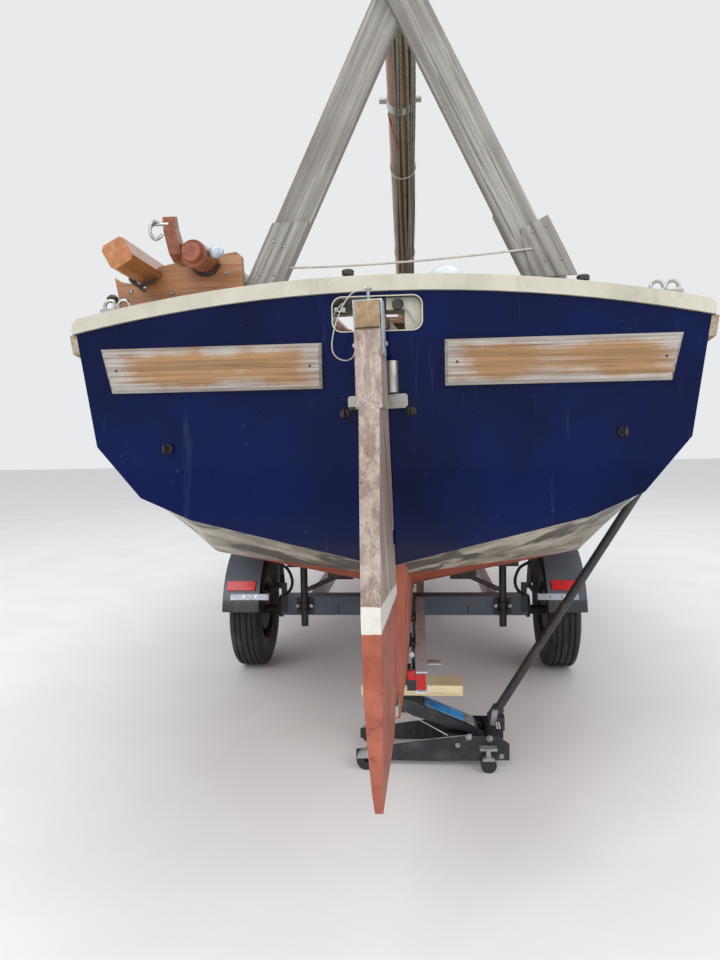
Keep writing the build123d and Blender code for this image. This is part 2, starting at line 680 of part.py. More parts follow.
def transom_fittings():
    pieces = []
    for z, half in zip(GUDGEONS, BAR_HALVES):
        bar = box(-half, half, -BAR_THICK - SEAT, -SEAT, z - BAR_HIGH / 2, z + BAR_HIGH / 2)
        bar = fillet(bar.edges().filter_by(Axis.Y), BAR_EASE)
        arm = box(-9, 9, PINTLE_Y, -BAR_THICK, z - GUDGEON_HIGH / 2, z + GUDGEON_HIGH / 2)
        ring = rod((0, PINTLE_Y, z - GUDGEON_HIGH / 2), (0, PINTLE_Y, z + GUDGEON_HIGH / 2), GUDGEON_R)
        bore = rod((0, PINTLE_Y, z - GUDGEON_HIGH), (0, PINTLE_Y, z + GUDGEON_HIGH), PINTLE_R + PIN_FIT)
        pieces.append(leaning(bar + arm + ring - bore))
    z = HEEL_GUDGEON
    heel = box(-20, 20, PINTLE_Y, KEEL_FOOT + 15, z - GUDGEON_HIGH / 2, z + GUDGEON_HIGH / 2)
    heel += rod((0, PINTLE_Y, z - GUDGEON_HIGH / 2), (0, PINTLE_Y, z + GUDGEON_HIGH / 2), 20)
    heel -= rod((0, PINTLE_Y, z - GUDGEON_HIGH), (0, PINTLE_Y, z + GUDGEON_HIGH), PINTLE_R + PIN_FIT)
    pieces.append(leaning(heel) - keel)
    y = SOCKET_Y
    socket = tube((SOCKET_X, y, SOCKET_LOW), (SOCKET_X, y, SOCKET_HIGH), SOCKET_R, SOCKET_BORE)
    foot = box(SOCKET_X - 12, SOCKET_X + 12, y + SOCKET_R - 3, -SEAT, SOCKET_LOW, SOCKET_HIGH)
    pieces.append(socket + foot)
    for x, z in ((-626, 1186), (654, 1209), (-111, 1275), (78, 1278)):
        eye = rod((x, -SEAT, z), (x, -10, z), 13) + rod((x, -10, z), (x, -32, z), 6)
        eye += Pos(x, -34, z) * Rot(0, 90, 0) * Torus(11, 4)
        pieces.append(eye)
    save("transom_fittings", *pieces)


def leaning(solid):
    """Leans a piece of the rudder's hanging to port, as its pintles lean."""
    return Pos(0, 0, RUDDER_PLUMB_Z) * Rot(0, -RUDDER_LEAN, 0) * Pos(0, 0, -RUDDER_PLUMB_Z) * solid


def rudder_turned(solid):
    """Turns a piece of the rudder to where it stands, about its pintles."""
    return leaning(Pos(0, PINTLE_Y, 0) * Rot(0, 0, -RUDDER_REST) * Pos(0, -PINTLE_Y, 0) * solid)


def rudder_profile():
    """Corners of the rudder seen from the side, as y, z."""
    return [
        (PINTLE_Y, HEAD_FOOT), (HEAD_FORE_Y, HEAD_FOOT), (HEAD_FORE_Y, HEAD_TOP),
        (HEAD_AFT_TOP, HEAD_TOP), (-250, 1300), (-345, 1050), (BLADE_AFT_WIDE, BLADE_WIDE_Z),
        (BLADE_AFT_LOW, 520), (BLADE_AFT_LOW + 4, 400), (BLADE_AFT_LOW + 22, BLADE_TIP),
        (-300, BLADE_BOTTOM),
        (-130, BLADE_BOTTOM + 18), (PINTLE_Y, BLADE_TOE),
    ]


def rudder_blade():
    half = HEAD_HALF + 10
    side = prism("X", rudder_profile(), -half, half)
    plan = prism("Z", [
        (BLADE_HALF_FORE, PINTLE_Y), (BLADE_HALF_AFT, BLADE_AFT_LOW - 5), (-BLADE_HALF_AFT, BLADE_AFT_LOW - 5),
        (-BLADE_HALF_FORE, PINTLE_Y),
    ], 300, HEAD_FOOT)
    head = box(-HEAD_HALF, HEAD_HALF, HEAD_AFT_TOP - 80, HEAD_FORE_Y + 1, HEAD_FOOT - 1, HEAD_TOP + 1)
    nose = rod((0, PINTLE_Y, BLADE_TOE), (0, PINTLE_Y, HEAD_FOOT), BLADE_HALF_FORE)
    thinned = prism("Y", BLADE_THINNED + [(-x, z) for x, z in reversed(BLADE_THINNED)], BLADE_AFT_LOW - 10, 0)
    blade = ((side & (plan + head)) + nose) & thinned
    gap = GUDGEON_HIGH / 2 + FREE
    fore = PINTLE_Y - GUDGEON_R - FREE - 8
    blade -= box(-60, 60, fore, 0, GUDGEONS[1] - gap, GUDGEONS[1] + gap)
    blade -= box(-60, 60, fore, 0, 300, HEEL_GUDGEON + gap)
    for low, high in pintle_spans():
        blade -= rod((0, PINTLE_Y, low), (0, PINTLE_Y, high), PINTLE_R)
    (y0, _, deep0), (y1, _, deep1) = TILLER_PLAN[:2]
    z0 = tiller_z(y0) - deep0 - SEAT
    rise = (tiller_z(y1) - deep1 - SEAT - z0) / (y1 - y0)
    blade -= prism("X", [(y0 - 200, z0 - 200 * rise), (y1 + 100, z0 + (y1 + 100 - y0) * rise),
                         (y1 + 100, 2000), (y0 - 200, 2000)], -90, 90)
    save("rudder_blade", rudder_turned(blade))


def pintle_spans():
    """Lowest and highest z of each pin."""
    top, low = GUDGEONS
    return [
        (HEAD_FOOT - 45, top + GUDGEON_HIGH / 2 + 8),
        (low - 46, low + 46),
        (HEEL_GUDGEON - GUDGEON_HIGH / 2 - 4, HEEL_GUDGEON + 90),
    ]


def tiller_z(y):
    """Height of the tiller's centre line."""
    return TILLER_BUTT_Z + (y - TILLER_BUTT_Y) * math.tan(math.radians(TILLER_SLOPE))


def rudder_irons():
    pieces = []
    outer = HEAD_HALF + STRAP_THICK
    strap = box(-outer, outer, STRAP_AFT, STRAP_AFT + STRAP_LONG, STRAP_FOOT, HEAD_TOP + STRAP_THICK)
    strap -= box(-HEAD_HALF - SEAT, HEAD_HALF + SEAT, -400, 0, 1400, HEAD_TOP + SEAT)
    pieces.append(strap)
    for low, high in pintle_spans():
        pieces.append(rod((0, PINTLE_Y, low), (0, PINTLE_Y, high), PINTLE_R))
    save("rudder_irons", *[rudder_turned(p) for p in pieces])


def tiller():
    wires = []
    for y, a, b in TILLER_PLAN:
        z = tiller_z(y)
        corners = [(a, y, z - b), (a, y, z + b), (-a, y, z + b), (-a, y, z - b)]
        wires.append(Polyline(*corners, close=True).wire())
    save("tiller", rudder_turned(Solid.make_loft(wires, True)))


def mast_placed(solid):
    """Takes a piece built along +Z from the pivot to where the lowered mast lies."""
    return Pos(0, PIVOT_Y, PIVOT_Z) * Rot(0, 0, MAST_SKEW) * Rot(90 - MAST_SLOPE, 0, 0) * solid


def mast_radius(s):
    """The mast is parallel from its heel to past the crutch, and tapers from there."""
    if s < MAST_TAPER:
        return MAST_R
    return MAST_R + (MAST_TOP_R - MAST_R) * (s - MAST_TAPER) / (MAST_LONG - MAST_TAPER)


def mast():
    profile = [(0, -MAST_HEEL), (MAST_R, -MAST_HEEL), (MAST_R, MAST_TAPER), (MAST_TOP_R, MAST_LONG),
               (0, MAST_LONG)]
    spar = revolve(make_face(Polyline(*[(x, 0, z) for x, z in profile], close=True)), Axis.Z)
    spar -= rod((-80, 0, 0), (80, 0, 0), PIVOT_R + PIN_FIT)
    save("mast", mast_placed(spar))
    bands = []
    for s in (3250, 3900, MAST_LONG - 260):
        r = mast_radius(s)
        band = tube((0, 0, s), (0, 0, s + 40), r + BAND_THICK + 1, r + 1)
        for side in (-1, 1):
            band += box(side * (r + 3), side * (r + 34), -5, 5, s + 6, s + 34)
        bands.append(mast_placed(band))
    save("mast_bands", *bands)


def tabernacle():
    deck_top = deck_z(0, PIVOT_Y + CHEEK_FORE)
    foot = deck_top - 60
    cheek = box(CHEEK_GAP, CHEEK_GAP + CHEEK_THICK, PIVOT_Y - CHEEK_FORE, PIVOT_Y + CHEEK_FORE, foot,
                PIVOT_Z + CHEEK_OVER)
    cheek = fillet(cheek.edges().filter_by(Axis.X).group_by(Axis.Z)[-1], 55)
    base = box(-CHEEK_GAP - CHEEK_THICK, CHEEK_GAP + CHEEK_THICK, PIVOT_Y - CHEEK_FORE - 20,
               PIVOT_Y + CHEEK_FORE + 20, foot, deck_top + 9)
    whole = base
    for c in both(cheek):
        whole += c
    reach = CHEEK_GAP + CHEEK_THICK + 12
    pin = rod((-reach, 0, 0), (reach, 0, 0), PIVOT_R)
    whole += Pos(0, PIVOT_Y, PIVOT_Z) * Rot(0, 0, MAST_SKEW) * pin
    save("tabernacle", whole - deck_panel - box(-200, 200, 4000, 4500, 1300, deck_z(0, PIVOT_Y) - 12))


def crutch_leg(side, y0, y1):
    """One leg, from the deck past the crossing; side is the side its foot stands on."""
    lean = math.radians(LEG_LEAN)
    up = Vector(-side * math.sin(lean), 0, math.cos(lean))
    across = Vector(side * math.cos(lean), 0, math.sin(lean))
    vertex = Vector(CRUTCH_X, 0, CRUTCH_VERTEX)
    outer_top = vertex + up * LEG_HORN
    down = (CRUTCH_VERTEX - LEG_FOOT_Z) / math.cos(lean) + 200
    outer_foot = vertex - up * down
    inner = -across * LEG_WIDE
    points = [outer_top, outer_foot, outer_foot + inner, outer_top + inner]
    leg = prism("Y", [(p.X, p.Z) for p in points], y0, y1)
    leg -= mast_placed(rod((0, 0, MAST_TAPER - 800), (0, 0, MAST_TAPER), MAST_R + SEAT))
    return leg - deck_slab([0] + STATIONS[1:3], 0, -400, DECK_THICK + SEAT)


def crutch():
    gap = SEAT / 2
    starboard = crutch_leg(1, CRUTCH_Y - LEG_THICK, CRUTCH_Y - gap)
    port = crutch_leg(-1, CRUTCH_Y + gap, CRUTCH_Y + LEG_THICK)
    save("crutch_leg_starboard", starboard)
    save("crutch_leg_port", port)
    feet = []
    for side, y0 in ((1, CRUTCH_Y + SEAT), (-1, CRUTCH_Y - LAP_THICK - SEAT)):
        leg = crutch_leg(side, y0, y0 + LAP_THICK)
        floor = box(-2000, 2000, -500, 900, 1400, LEG_FOOT_Z + 8 + LAP_LONG)
        feet.append(leg & floor)
    save("crutch_feet", *feet)


def sprit_body(grow, start, end):
    """The bowsprit between two stations."""
    h, c = SPRIT_HALF + grow, SPRIT_CHAMFER
    section = [(h, h - c), (h - c, h), (c - h, h), (-h, h - c), (-h, c - h), (c - h, -h), (h - c, -h), (h, c - h)]
    cos, sin = math.cos(math.radians(SPRIT_ROLL)), math.sin(math.radians(SPRIT_ROLL))
    return prism("Y", [(SPRIT_X + x * cos - z * sin, SPRIT_Z + x * sin + z * cos) for x, z in section], start, end)


def boom_place(y):
    """The boom's middle at any y, as x and z."""
    return (BOOM_X + 40 * (y - BOOM_AFT) / BOOM_LONG,
            BOOM_Z + (y - SPAR_BOARD_Y) * math.tan(math.radians(BOOM_RISE)))


def over_boom(y, thick):
    """The room over the boom at y, so that its notch is open at the top."""
    x, z = boom_place(y)
    return box(x - BOOM_R - SEAT, x + BOOM_R + SEAT, y - thick, y + thick, z, z + 300)


def spar_crutches():
    y0, y1 = SPAR_BOARD_Y - SPAR_BOARD_THICK / 2, SPAR_BOARD_Y + SPAR_BOARD_THICK / 2
    board = prism("Y", SPAR_BOARD, y0, y1)
    board -= deck_slab([0] + STATIONS[1:3], 0, -200, DECK_THICK + SEAT)
    board -= boom_body(SEAT)
    board -= over_boom(SPAR_BOARD_Y, SPAR_BOARD_THICK)
    board -= sprit_body(SEAT, y0 - 9, y1 + 9)
    pieces = [board]
    y = SPRIT_CHOCK_Y
    chock = box(SPRIT_X - 58, SPRIT_X + 58, y - CHOCK_THICK / 2, y + CHOCK_THICK / 2, 1450, SPRIT_Z - 8)
    chock -= sprit_body(SEAT, y - 50, y + 50)
    pieces.append(chock - deck_slab(STATIONS[2:5], 0, -200, DECK_THICK + SEAT))
    for y in CHOCK_YS:
        half = trunk_outline(0, y, TRUNK_END)[0][0]
        t = (y - GAFF_AFT[1]) / (GAFF_FORE[1] - GAFF_AFT[1])
        gaff_x = GAFF_AFT[0] + (GAFF_FORE[0] - GAFF_AFT[0]) * t
        left = -half + 24 if y < 3000 else gaff_x - 60
        chock = box(left, gaff_x + 52, y - CHOCK_THICK / 2, y + CHOCK_THICK / 2, 1700, GAFF_Z + 4)
        chock -= roof_slab(-SEAT, TRUNK_START, TRUNK_END, SEAT, 400)
        chock -= gaff_body(SEAT)
        chock -= boom_body(SEAT)
        if y < BOOM_AFT + BOOM_LONG:
            chock -= over_boom(y, CHOCK_THICK)
        pieces.append(chock)
    save("spar_crutches", *pieces)


GAFF_Z = TRUNK_SIDE_TOP + TRUNK_CROWN + GAFF_R + 12


def gaff_body(grow):
    return rod((GAFF_AFT[0], GAFF_AFT[1], GAFF_Z), (GAFF_FORE[0], GAFF_FORE[1], GAFF_Z), GAFF_R + grow)


def boom_body(grow):
    rise = math.tan(math.radians(BOOM_RISE))
    aft = (BOOM_X, BOOM_AFT, BOOM_Z + (BOOM_AFT - SPAR_BOARD_Y) * rise)
    fore = (BOOM_X + 40, BOOM_AFT + BOOM_LONG, BOOM_Z + (BOOM_AFT + BOOM_LONG - SPAR_BOARD_Y) * rise)
    return rod(aft, fore, BOOM_R + grow)


def spars():
    save("bowsprit", sprit_body(0, SPRIT_AFT, SPRIT_AFT + SPRIT_LONG))
    x, z = boom_place(BOOM_AFT)
    boom = boom_body(0)
    boom += rod((x, BOOM_AFT + 30, z + 1.5), (x, BOOM_AFT - BOOM_EASE, z), BOOM_R - 4, BOOM_R - BOOM_EASE / 2)
    boom += prism("X", [(y, BOOM_Z + h) for y, h in JAW], BOOM_X - BOOM_R - 26, BOOM_X - BOOM_R + 8)
    save("boom", boom)
    save("gaff", gaff_body(0))


def samson_post():
    y = 5340.0
    foot = deck_z(0, y) - 4
    post = box(-45, 45, y - 45, y + 45, foot, foot + 300)
    post = chamfer(post.edges().group_by(Axis.Z)[-1], 14)
    post += rod((-120, y, foot + 190), (120, y, foot + 190), 13)
    post -= deck_slab(STATIONS[-4:-1] + [STEM_Y - 80], -CAP_IN, -60, DECK_THICK + SEAT)
    save("samson_post", post)


def handrails():
    rails = []
    y0, y1 = TRUNK_START + 330, TRUNK_END - 260
    x0 = trunk_outline(0, y0, TRUNK_END)[0][0] - 34
    x1 = trunk_outline(0, y1, TRUNK_END)[0][0] - 34
    z = TRUNK_SIDE_TOP + 46
    rail = rod((x0, y0, z), (x1, y1, z), 13)
    for t in (0.04, 0.35, 0.65, 0.96):
        x, y = x0 + (x1 - x0) * t, y0 + (y1 - y0) * t
        rail += rod((x, y, z), (x, y, TRUNK_SIDE_TOP - 20), 12)
    rail -= roof_slab(-SEAT, TRUNK_START, TRUNK_END, SEAT, 300)
    rails = both(rail)
    save("handrails", rails[0])


def cap_z(x, y):
    """Height of the moulding's upper face."""
    row = hull_row(y)
    return row[2] + CAP_HIGH + row[10] * (1 - (x / (row[1] + CAP_OUT - CAP_EASE)) ** 2)


def fairleads():
    moulding = deck_slab([-CAP_OUT] + STATIONS[1:-1] + [STEM_Y + 8], CAP_OUT, -60, CAP_HIGH + SEAT, CAP_EASE)
    loops = box(-16, 16, -45, 45, -20, 5)
    for k in (-20, 20):
        loops += Pos(0, k, 14) * Rot(0, 90, 0) * Torus(17, 5)
    slope = (hull_row(BOW_LEAD_Y + 10)[1] - hull_row(BOW_LEAD_Y - 10)[1]) / 20
    bow = (hull_row(BOW_LEAD_Y)[1] - 14, BOW_LEAD_Y, -math.degrees(math.atan(slope)))
    pieces = []
    for x, y, turn in ((QUARTER_LEAD_X, 14.0, 90.0), bow):
        pieces += both(Pos(x, y, cap_z(x, y)) * Rot(0, 0, turn) * loops - moulding)
    save("fairleads", *pieces)


def chainplates():
    pieces = []
    for y in (3720, 3960, 4200):
        row = hull_row(y)
        x = row[1] + STRAKE_OUT + SEAT * 2
        plate = box(x - 12, x + 5, y - 16, y + 16, row[2] - 50, row[2] + 95)
        plate = fillet(plate.edges().filter_by(Axis.X).group_by(Axis.Z)[-1], 15)
        plate -= rod((x - 15, y, row[2] + 75), (x + 15, y, row[2] + 75), 6)
        plate -= box(x - 20, x, y - 20, y + 20, row[2] - 8, row[2] + 200)
        pieces += both(plate - strake)
    row = hull_row(STEM_Y)
    iron = box(-24, 24, STEM_Y + SEAT, STEM_Y + 8, row[2] - 420, row[2] - 2)
    pieces.append(iron)
    save("chainplates", *pieces)


def wheel_profile(points):
    """Turns an outline given as distance along the axle, radius."""
    face = make_face(Polyline(*[(a, r, 0) for a, r in points], close=True))
    return revolve(face, Axis.X)


def wheels():
    b = TYRE_HALF
    tyre = wheel_profile([
        (-58, RIM_R + SEAT), (-70, RIM_R + 14), (-b, 222), (-b + 4, 258), (-66, TYRE_R - 7), (-50, TYRE_R),
        (50, TYRE_R), (66, TYRE_R - 7), (b - 4, 258), (b, 222), (70, RIM_R + 14), (58, RIM_R + SEAT),
    ])
    rim = wheel_profile([
        (-58, RIM_R), (-66, RIM_R + 8), (-66, RIM_R - 6), (-50, RIM_R - 16), (20, RIM_R - 30), (32, RIM_R - 60),
        (22, HUB_R + 6), (34, HUB_R), (34, 30), (44, 30), (44, 12), (62, 0), (70, 0), (70, 34), (46, 42),
        (42, HUB_R + 4), (34, HUB_R + 12), (44, RIM_R - 56), (34, RIM_R - 24), (50, RIM_R - 18), (66, RIM_R - 6),
        (66, RIM_R + 8), (58, RIM_R),
    ])
    for name, side in (("port", -1), ("starboard", 1)):
        place = Pos(side * WHEEL_X, AXLE_Y, TYRE_R)
        flip = Rot(0, 0, 0) if side > 0 else Rot(0, 0, 180)
        save(f"tyre_{name}", place * flip * tyre)
        save(f"wheel_{name}", place * flip * rim)


def axle():
    y0, y1 = AXLE_Y - BEAM_DEEP / 2, AXLE_Y + BEAM_DEEP / 2
    beam = box(-BEAM_HALF, BEAM_HALF, y0, y1, BEAM_LOW, BEAM_HIGH)
    w = BEAM_WALL
    beam -= box(-BEAM_HALF - 1, BEAM_HALF + 1, y0 + w, y1 - w, BEAM_LOW + w, BEAM_HIGH - w)
    save("axle_beam", beam)
    stubs = []
    for side in (-1, 1):
        arm = rod((side * (BEAM_HALF + SEAT), AXLE_Y, TYRE_R), (side * (WHEEL_X + 44 - SEAT), AXLE_Y, TYRE_R), 24)
        drum = rod((side * (WHEEL_X - 55), AXLE_Y, TYRE_R), (side * (WHEEL_X + 10), AXLE_Y, TYRE_R), DRUM_R)
        plate = rod((side * (BEAM_HALF + SEAT), AXLE_Y, TYRE_R + 20), (side * (BEAM_HALF + 14), AXLE_Y, TYRE_R + 20), 60)
        hub = rod((side * WHEEL_X, AXLE_Y, TYRE_R), (side * (WHEEL_X + 34 - SEAT), AXLE_Y, TYRE_R), HUB_R - 6)
        stubs.append(arm + drum + plate + hub)
    save("stub_axles", *stubs)


def trailer_frame():
    y0 = AXLE_Y + BEAM_DEEP / 2 + SEAT
    z0, z1 = RAIL_LOW, RAIL_HIGH
    half = SIDE_WIDE / 2
    side = box(SIDE_X - half, SIDE_X + half, y0, SIDE_END_Y, z0, z1)
    raked = prism("Z", [
        (SIDE_X + half, SIDE_END_Y + SEAT), (DRAWBAR_HALF + SEAT + 40, DRAWBAR_START + 420),
        (DRAWBAR_HALF + SEAT, DRAWBAR_START + 420), (DRAWBAR_HALF + SEAT, DRAWBAR_START + 300),
        (SIDE_X - half, SIDE_END_Y + SEAT)], z0, z1)
    cross = box(RAIL_OUT + SEAT, SIDE_X - half - SEAT, 3180, 3230, z0, z1)
    front = box(-180, 180, RAIL_END + SEAT, RAIL_END + 50, z0, z1)
    for inwards, part in zip((-SEAT, SEAT), both(raked)):
        front -= part
        front -= Pos(inwards, 0, 0) * part
    bar = box(-DRAWBAR_HALF, DRAWBAR_HALF, DRAWBAR_START + SEAT, DRAWBAR_END, z0, DRAWBAR_HIGH)
    bar -= box(-DRAWBAR_HALF + 5, DRAWBAR_HALF - 5, DRAWBAR_START - 5, DRAWBAR_END + 5, z0 + 5, DRAWBAR_HIGH - 5)
    save("trailer_frame", *both(side), *both(raked), *both(cross), front, bar)


def keel_rails():
    pieces = []
    y0, y1 = AXLE_Y - BEAM_DEEP / 2 - SEAT, AXLE_Y + BEAM_DEEP / 2 + SEAT
    for start, end in ((RAIL_START, y0), (y1, RAIL_END)):
        rail = box(RAIL_IN, RAIL_OUT, start, end, RAIL_LOW, RAIL_HIGH)
        rail -= box(RAIL_IN + RAIL_WALL, RAIL_OUT + 1, start - 1, end + 1, RAIL_LOW + RAIL_WALL,
                    RAIL_HIGH - RAIL_WALL)
        pieces += both(rail)
    save("keel_rails", *pieces)
    rollers = []
    z = KEEL_BOTTOM - SEAT - ROLLER_R
    for y in ROLLER_YS:
        roller = rod((-ROLLER_HALF, y, z), (ROLLER_HALF, y, z), ROLLER_R)
        roller += rod((-RAIL_IN + SEAT, y, z), (RAIL_IN - SEAT, y, z), SPINDLE_R)
        rollers.append(roller)
    z = WINCH_TOP - 65
    rollers.append(rod((-40, STEM_Y + 46, z), (40, STEM_Y + 46, z), 37))
    save("rollers", *rollers)


def pad_low(x):
    """Height of the under side of the pad at x."""
    return bottom_z(x, AXLE_Y - BEAM_DEEP / 2) - PAD_DEEP


def support_posts():
    y = AXLE_Y - BEAM_DEEP / 2 - POST_R - SEAT - 4
    post = rod((POST_X, y, POST_LOW), (POST_X, y, pad_low(POST_X) - SEAT), POST_R)
    post += box(POST_X - 45, POST_X + 45, y + POST_R - 4, y + POST_R + 4, BEAM_LOW + 10, BEAM_HIGH - 10)
    low = pad_low(STAY_IN_X) - SEAT
    stay = rod((POST_X, y, 405), (STAY_IN_X, y, low + 6), 12)
    post += stay - box(STAY_IN_X - 50, STAY_IN_X + 50, y - 50, y + 50, low, low + 100)
    save("support_posts", *both(post))
    pads = []
    for x in (POST_X, STAY_IN_X):
        pad = box(x - PAD_WIDE / 2, x + PAD_WIDE / 2, y - PAD_LONG / 2, y + PAD_LONG / 2,
                  pad_low(x), bottom_z(x, y) + 60)
        pad -= hull_outer
        pads += both(pad)
    save("hull_pads", *pads)


def guard_arc(r0, r1, x0, x1, start, end):
    """A curved strip over the wheel, between two angles from straight aft."""
    outline = []
    steps = 4
    for r, order in ((r1, range(steps + 1)), (r0, range(steps, -1, -1))):
        for k in order:
            a = math.radians(start + (end - start) * k / steps)
            outline.append((AXLE_Y - r * math.cos(a), TYRE_R + r * math.sin(a)))
    n = steps + 1
    outer, inner = outline[:n], outline[n:]
    a0, a1 = [(x0, *p) for p in outer], [(x0, *p) for p in inner]
    edges = [ThreePointArc(a0[0], a0[1], a0[2]).edge(), ThreePointArc(a0[2], a0[3], a0[4]).edge(),
             Line(a0[4], a1[0]).edge(), ThreePointArc(a1[0], a1[1], a1[2]).edge(),
             ThreePointArc(a1[2], a1[3], a1[4]).edge(), Line(a1[4], a0[0]).edge()]
    return extrude(Face(Wire(edges)), amount=x1 - x0, dir=(1, 0, 0))


def on_guard(angle, x0, x1, thick, high):
    """A flat strip lying on the guard, at an angle from straight aft."""
    r = GUARD_R + GUARD_THICK + SEAT
    strip = box(x0, x1, -r - thick, -r, -high / 2, high / 2)
    return Pos(0, AXLE_Y, TYRE_R) * Rot(-angle, 0, 0) * strip


def mudguards():
    start, end = GUARD_START, 180 - GUARD_START
    skin = guard_arc(GUARD_R, GUARD_R + GUARD_THICK, GUARD_IN, GUARD_OUT, start, end)
    lip = guard_arc(GUARD_R - GUARD_LIP, GUARD_R + GUARD_THICK, GUARD_OUT - GUARD_THICK, GUARD_OUT, start, end)
    save("mudguards", *both(skin + lip))
    x0, x1 = BEAM_HALF + 6, BEAM_HALF + 12
    face = AXLE_Y - BEAM_DEEP / 2 - SEAT
    stay = on_guard(STRIP_ANGLE, x0, GUARD_OUT - 40, 4, 30)
    stay += box(x0, x1, AXLE_Y - 338, face, 415, 445)
    stay += box(BEAM_HALF - 34, BEAM_HALF - 4, face - 6, face, BEAM_LOW + 20, 445)
    stay += box(BEAM_HALF - 34, x1, face - 6, face, 415, 445)
    save("mudguard_stays", *both(stay))
    reflectors = both(on_guard(REFLECTOR_ANGLE, GUARD_IN + 20, GUARD_OUT - 20, 8, 48))
    reflectors += both(box(RAIL_IN + 4, RAIL_OUT - 4, RAIL_START - 6, RAIL_START - SEAT, RAIL_LOW + 14, RAIL_HIGH - 8))
    save("reflectors", *reflectors)


def winch_post():
    y = WINCH_Y
    post = prism("X", [(y - 30, DRAWBAR_HIGH + SEAT), (y + 30, DRAWBAR_HIGH + SEAT), (y + 10, WINCH_TOP),
                       (y - 50, WINCH_TOP)], -30, 30)
    post += box(-47, 47, STEM_Y + 92, y + 4, WINCH_TOP - 90, WINCH_TOP - 40)
    for fork in both(box(40 + SEAT, 47, STEM_Y + 30, STEM_Y + 96, WINCH_TOP - 90, WINCH_TOP - 40)):
        post += fork
    drum = rod((-70, y + 50, 900), (70, y + 50, 900), 42)
    frame = box(-60, 60, y - 20, y + 60, 850, 870)
    post += drum + frame
    post += rod((70, y + 50, 900), (110, y + 50, 900), 10)
    post += box(104, 114, y + 40, y + 60, 900, 1080)
    save("winch_post", post)


def coupling_head():
    y0 = DRAWBAR_END - 160
    body = prism("Y", [(-34, DRAWBAR_HIGH + SEAT), (34, DRAWBAR_HIGH + SEAT), (34, DRAWBAR_HIGH + 60),
                       (-34, DRAWBAR_HIGH + 60)], y0, DRAWBAR_END + 60)
    body += rod((0, BALL_Y, BALL_Z - 14), (0, BALL_Y, BALL_Z + 62), 42)
    body += box(-30, 30, DRAWBAR_END + 40, BALL_Y, DRAWBAR_HIGH + 2, DRAWBAR_HIGH + 50)
    body += rod((0, BALL_Y, BALL_Z + 30), (0, NOSE_Y, BALL_Z + 30), 20)
    body -= Pos(0, BALL_Y, BALL_Z) * Sphere(BALL_R)
    body -= rod((0, BALL_Y, BALL_Z - 60), (0, BALL_Y, BALL_Z), BALL_R)
    save("coupling_head", body)


def jockey():
    x, y = JOCKEY_X, JOCKEY_Y
    clamp = box(-DRAWBAR_HALF - SEAT - 12, -DRAWBAR_HALF - SEAT, y - 40, y + 40, 300, 420)
    clamp += tube((x, y, 300), (x, y, 640), JOCKEY_TUBE_R + 5, JOCKEY_TUBE_R + PIN_FIT)
    clamp += box(x + JOCKEY_TUBE_R + 2, -DRAWBAR_HALF - SEAT - 11, y - 14, y + 14, 310, 410)
    save("jockey_clamp", clamp)
    stem = rod((x, y, 226), (x, y, 700), JOCKEY_TUBE_R)
    stem += rod((x, y, 700), (x + 90, y, 712), 7)
    axle_y = y + JOCKEY_TRAIL
    for side in (-1, 1):
        cheek = prism("X", [(y - 26, 236), (y + 30, 236), (axle_y + 18, 108), (axle_y - 18, 88)],
                      x + side * 36, x + side * 41)
        stem += cheek
    stem += box(x - 41, x + 41, y - 26, y + 30, 226, 240)
    stem += rod((x - 46, axle_y, JOCKEY_WHEEL_R), (x + 46, axle_y, JOCKEY_WHEEL_R), 8)
    save("jockey_stem", stem)
    wheel = wheel_profile([(-28, 30), (-28, 90), (-18, JOCKEY_WHEEL_R), (18, JOCKEY_WHEEL_R), (28, 90), (28, 30),
                           (30, 20), (30, 8 + PIN_FIT), (-30, 8 + PIN_FIT), (-30, 20)])
    save("jockey_wheel", Pos(x, axle_y, JOCKEY_WHEEL_R) * wheel)


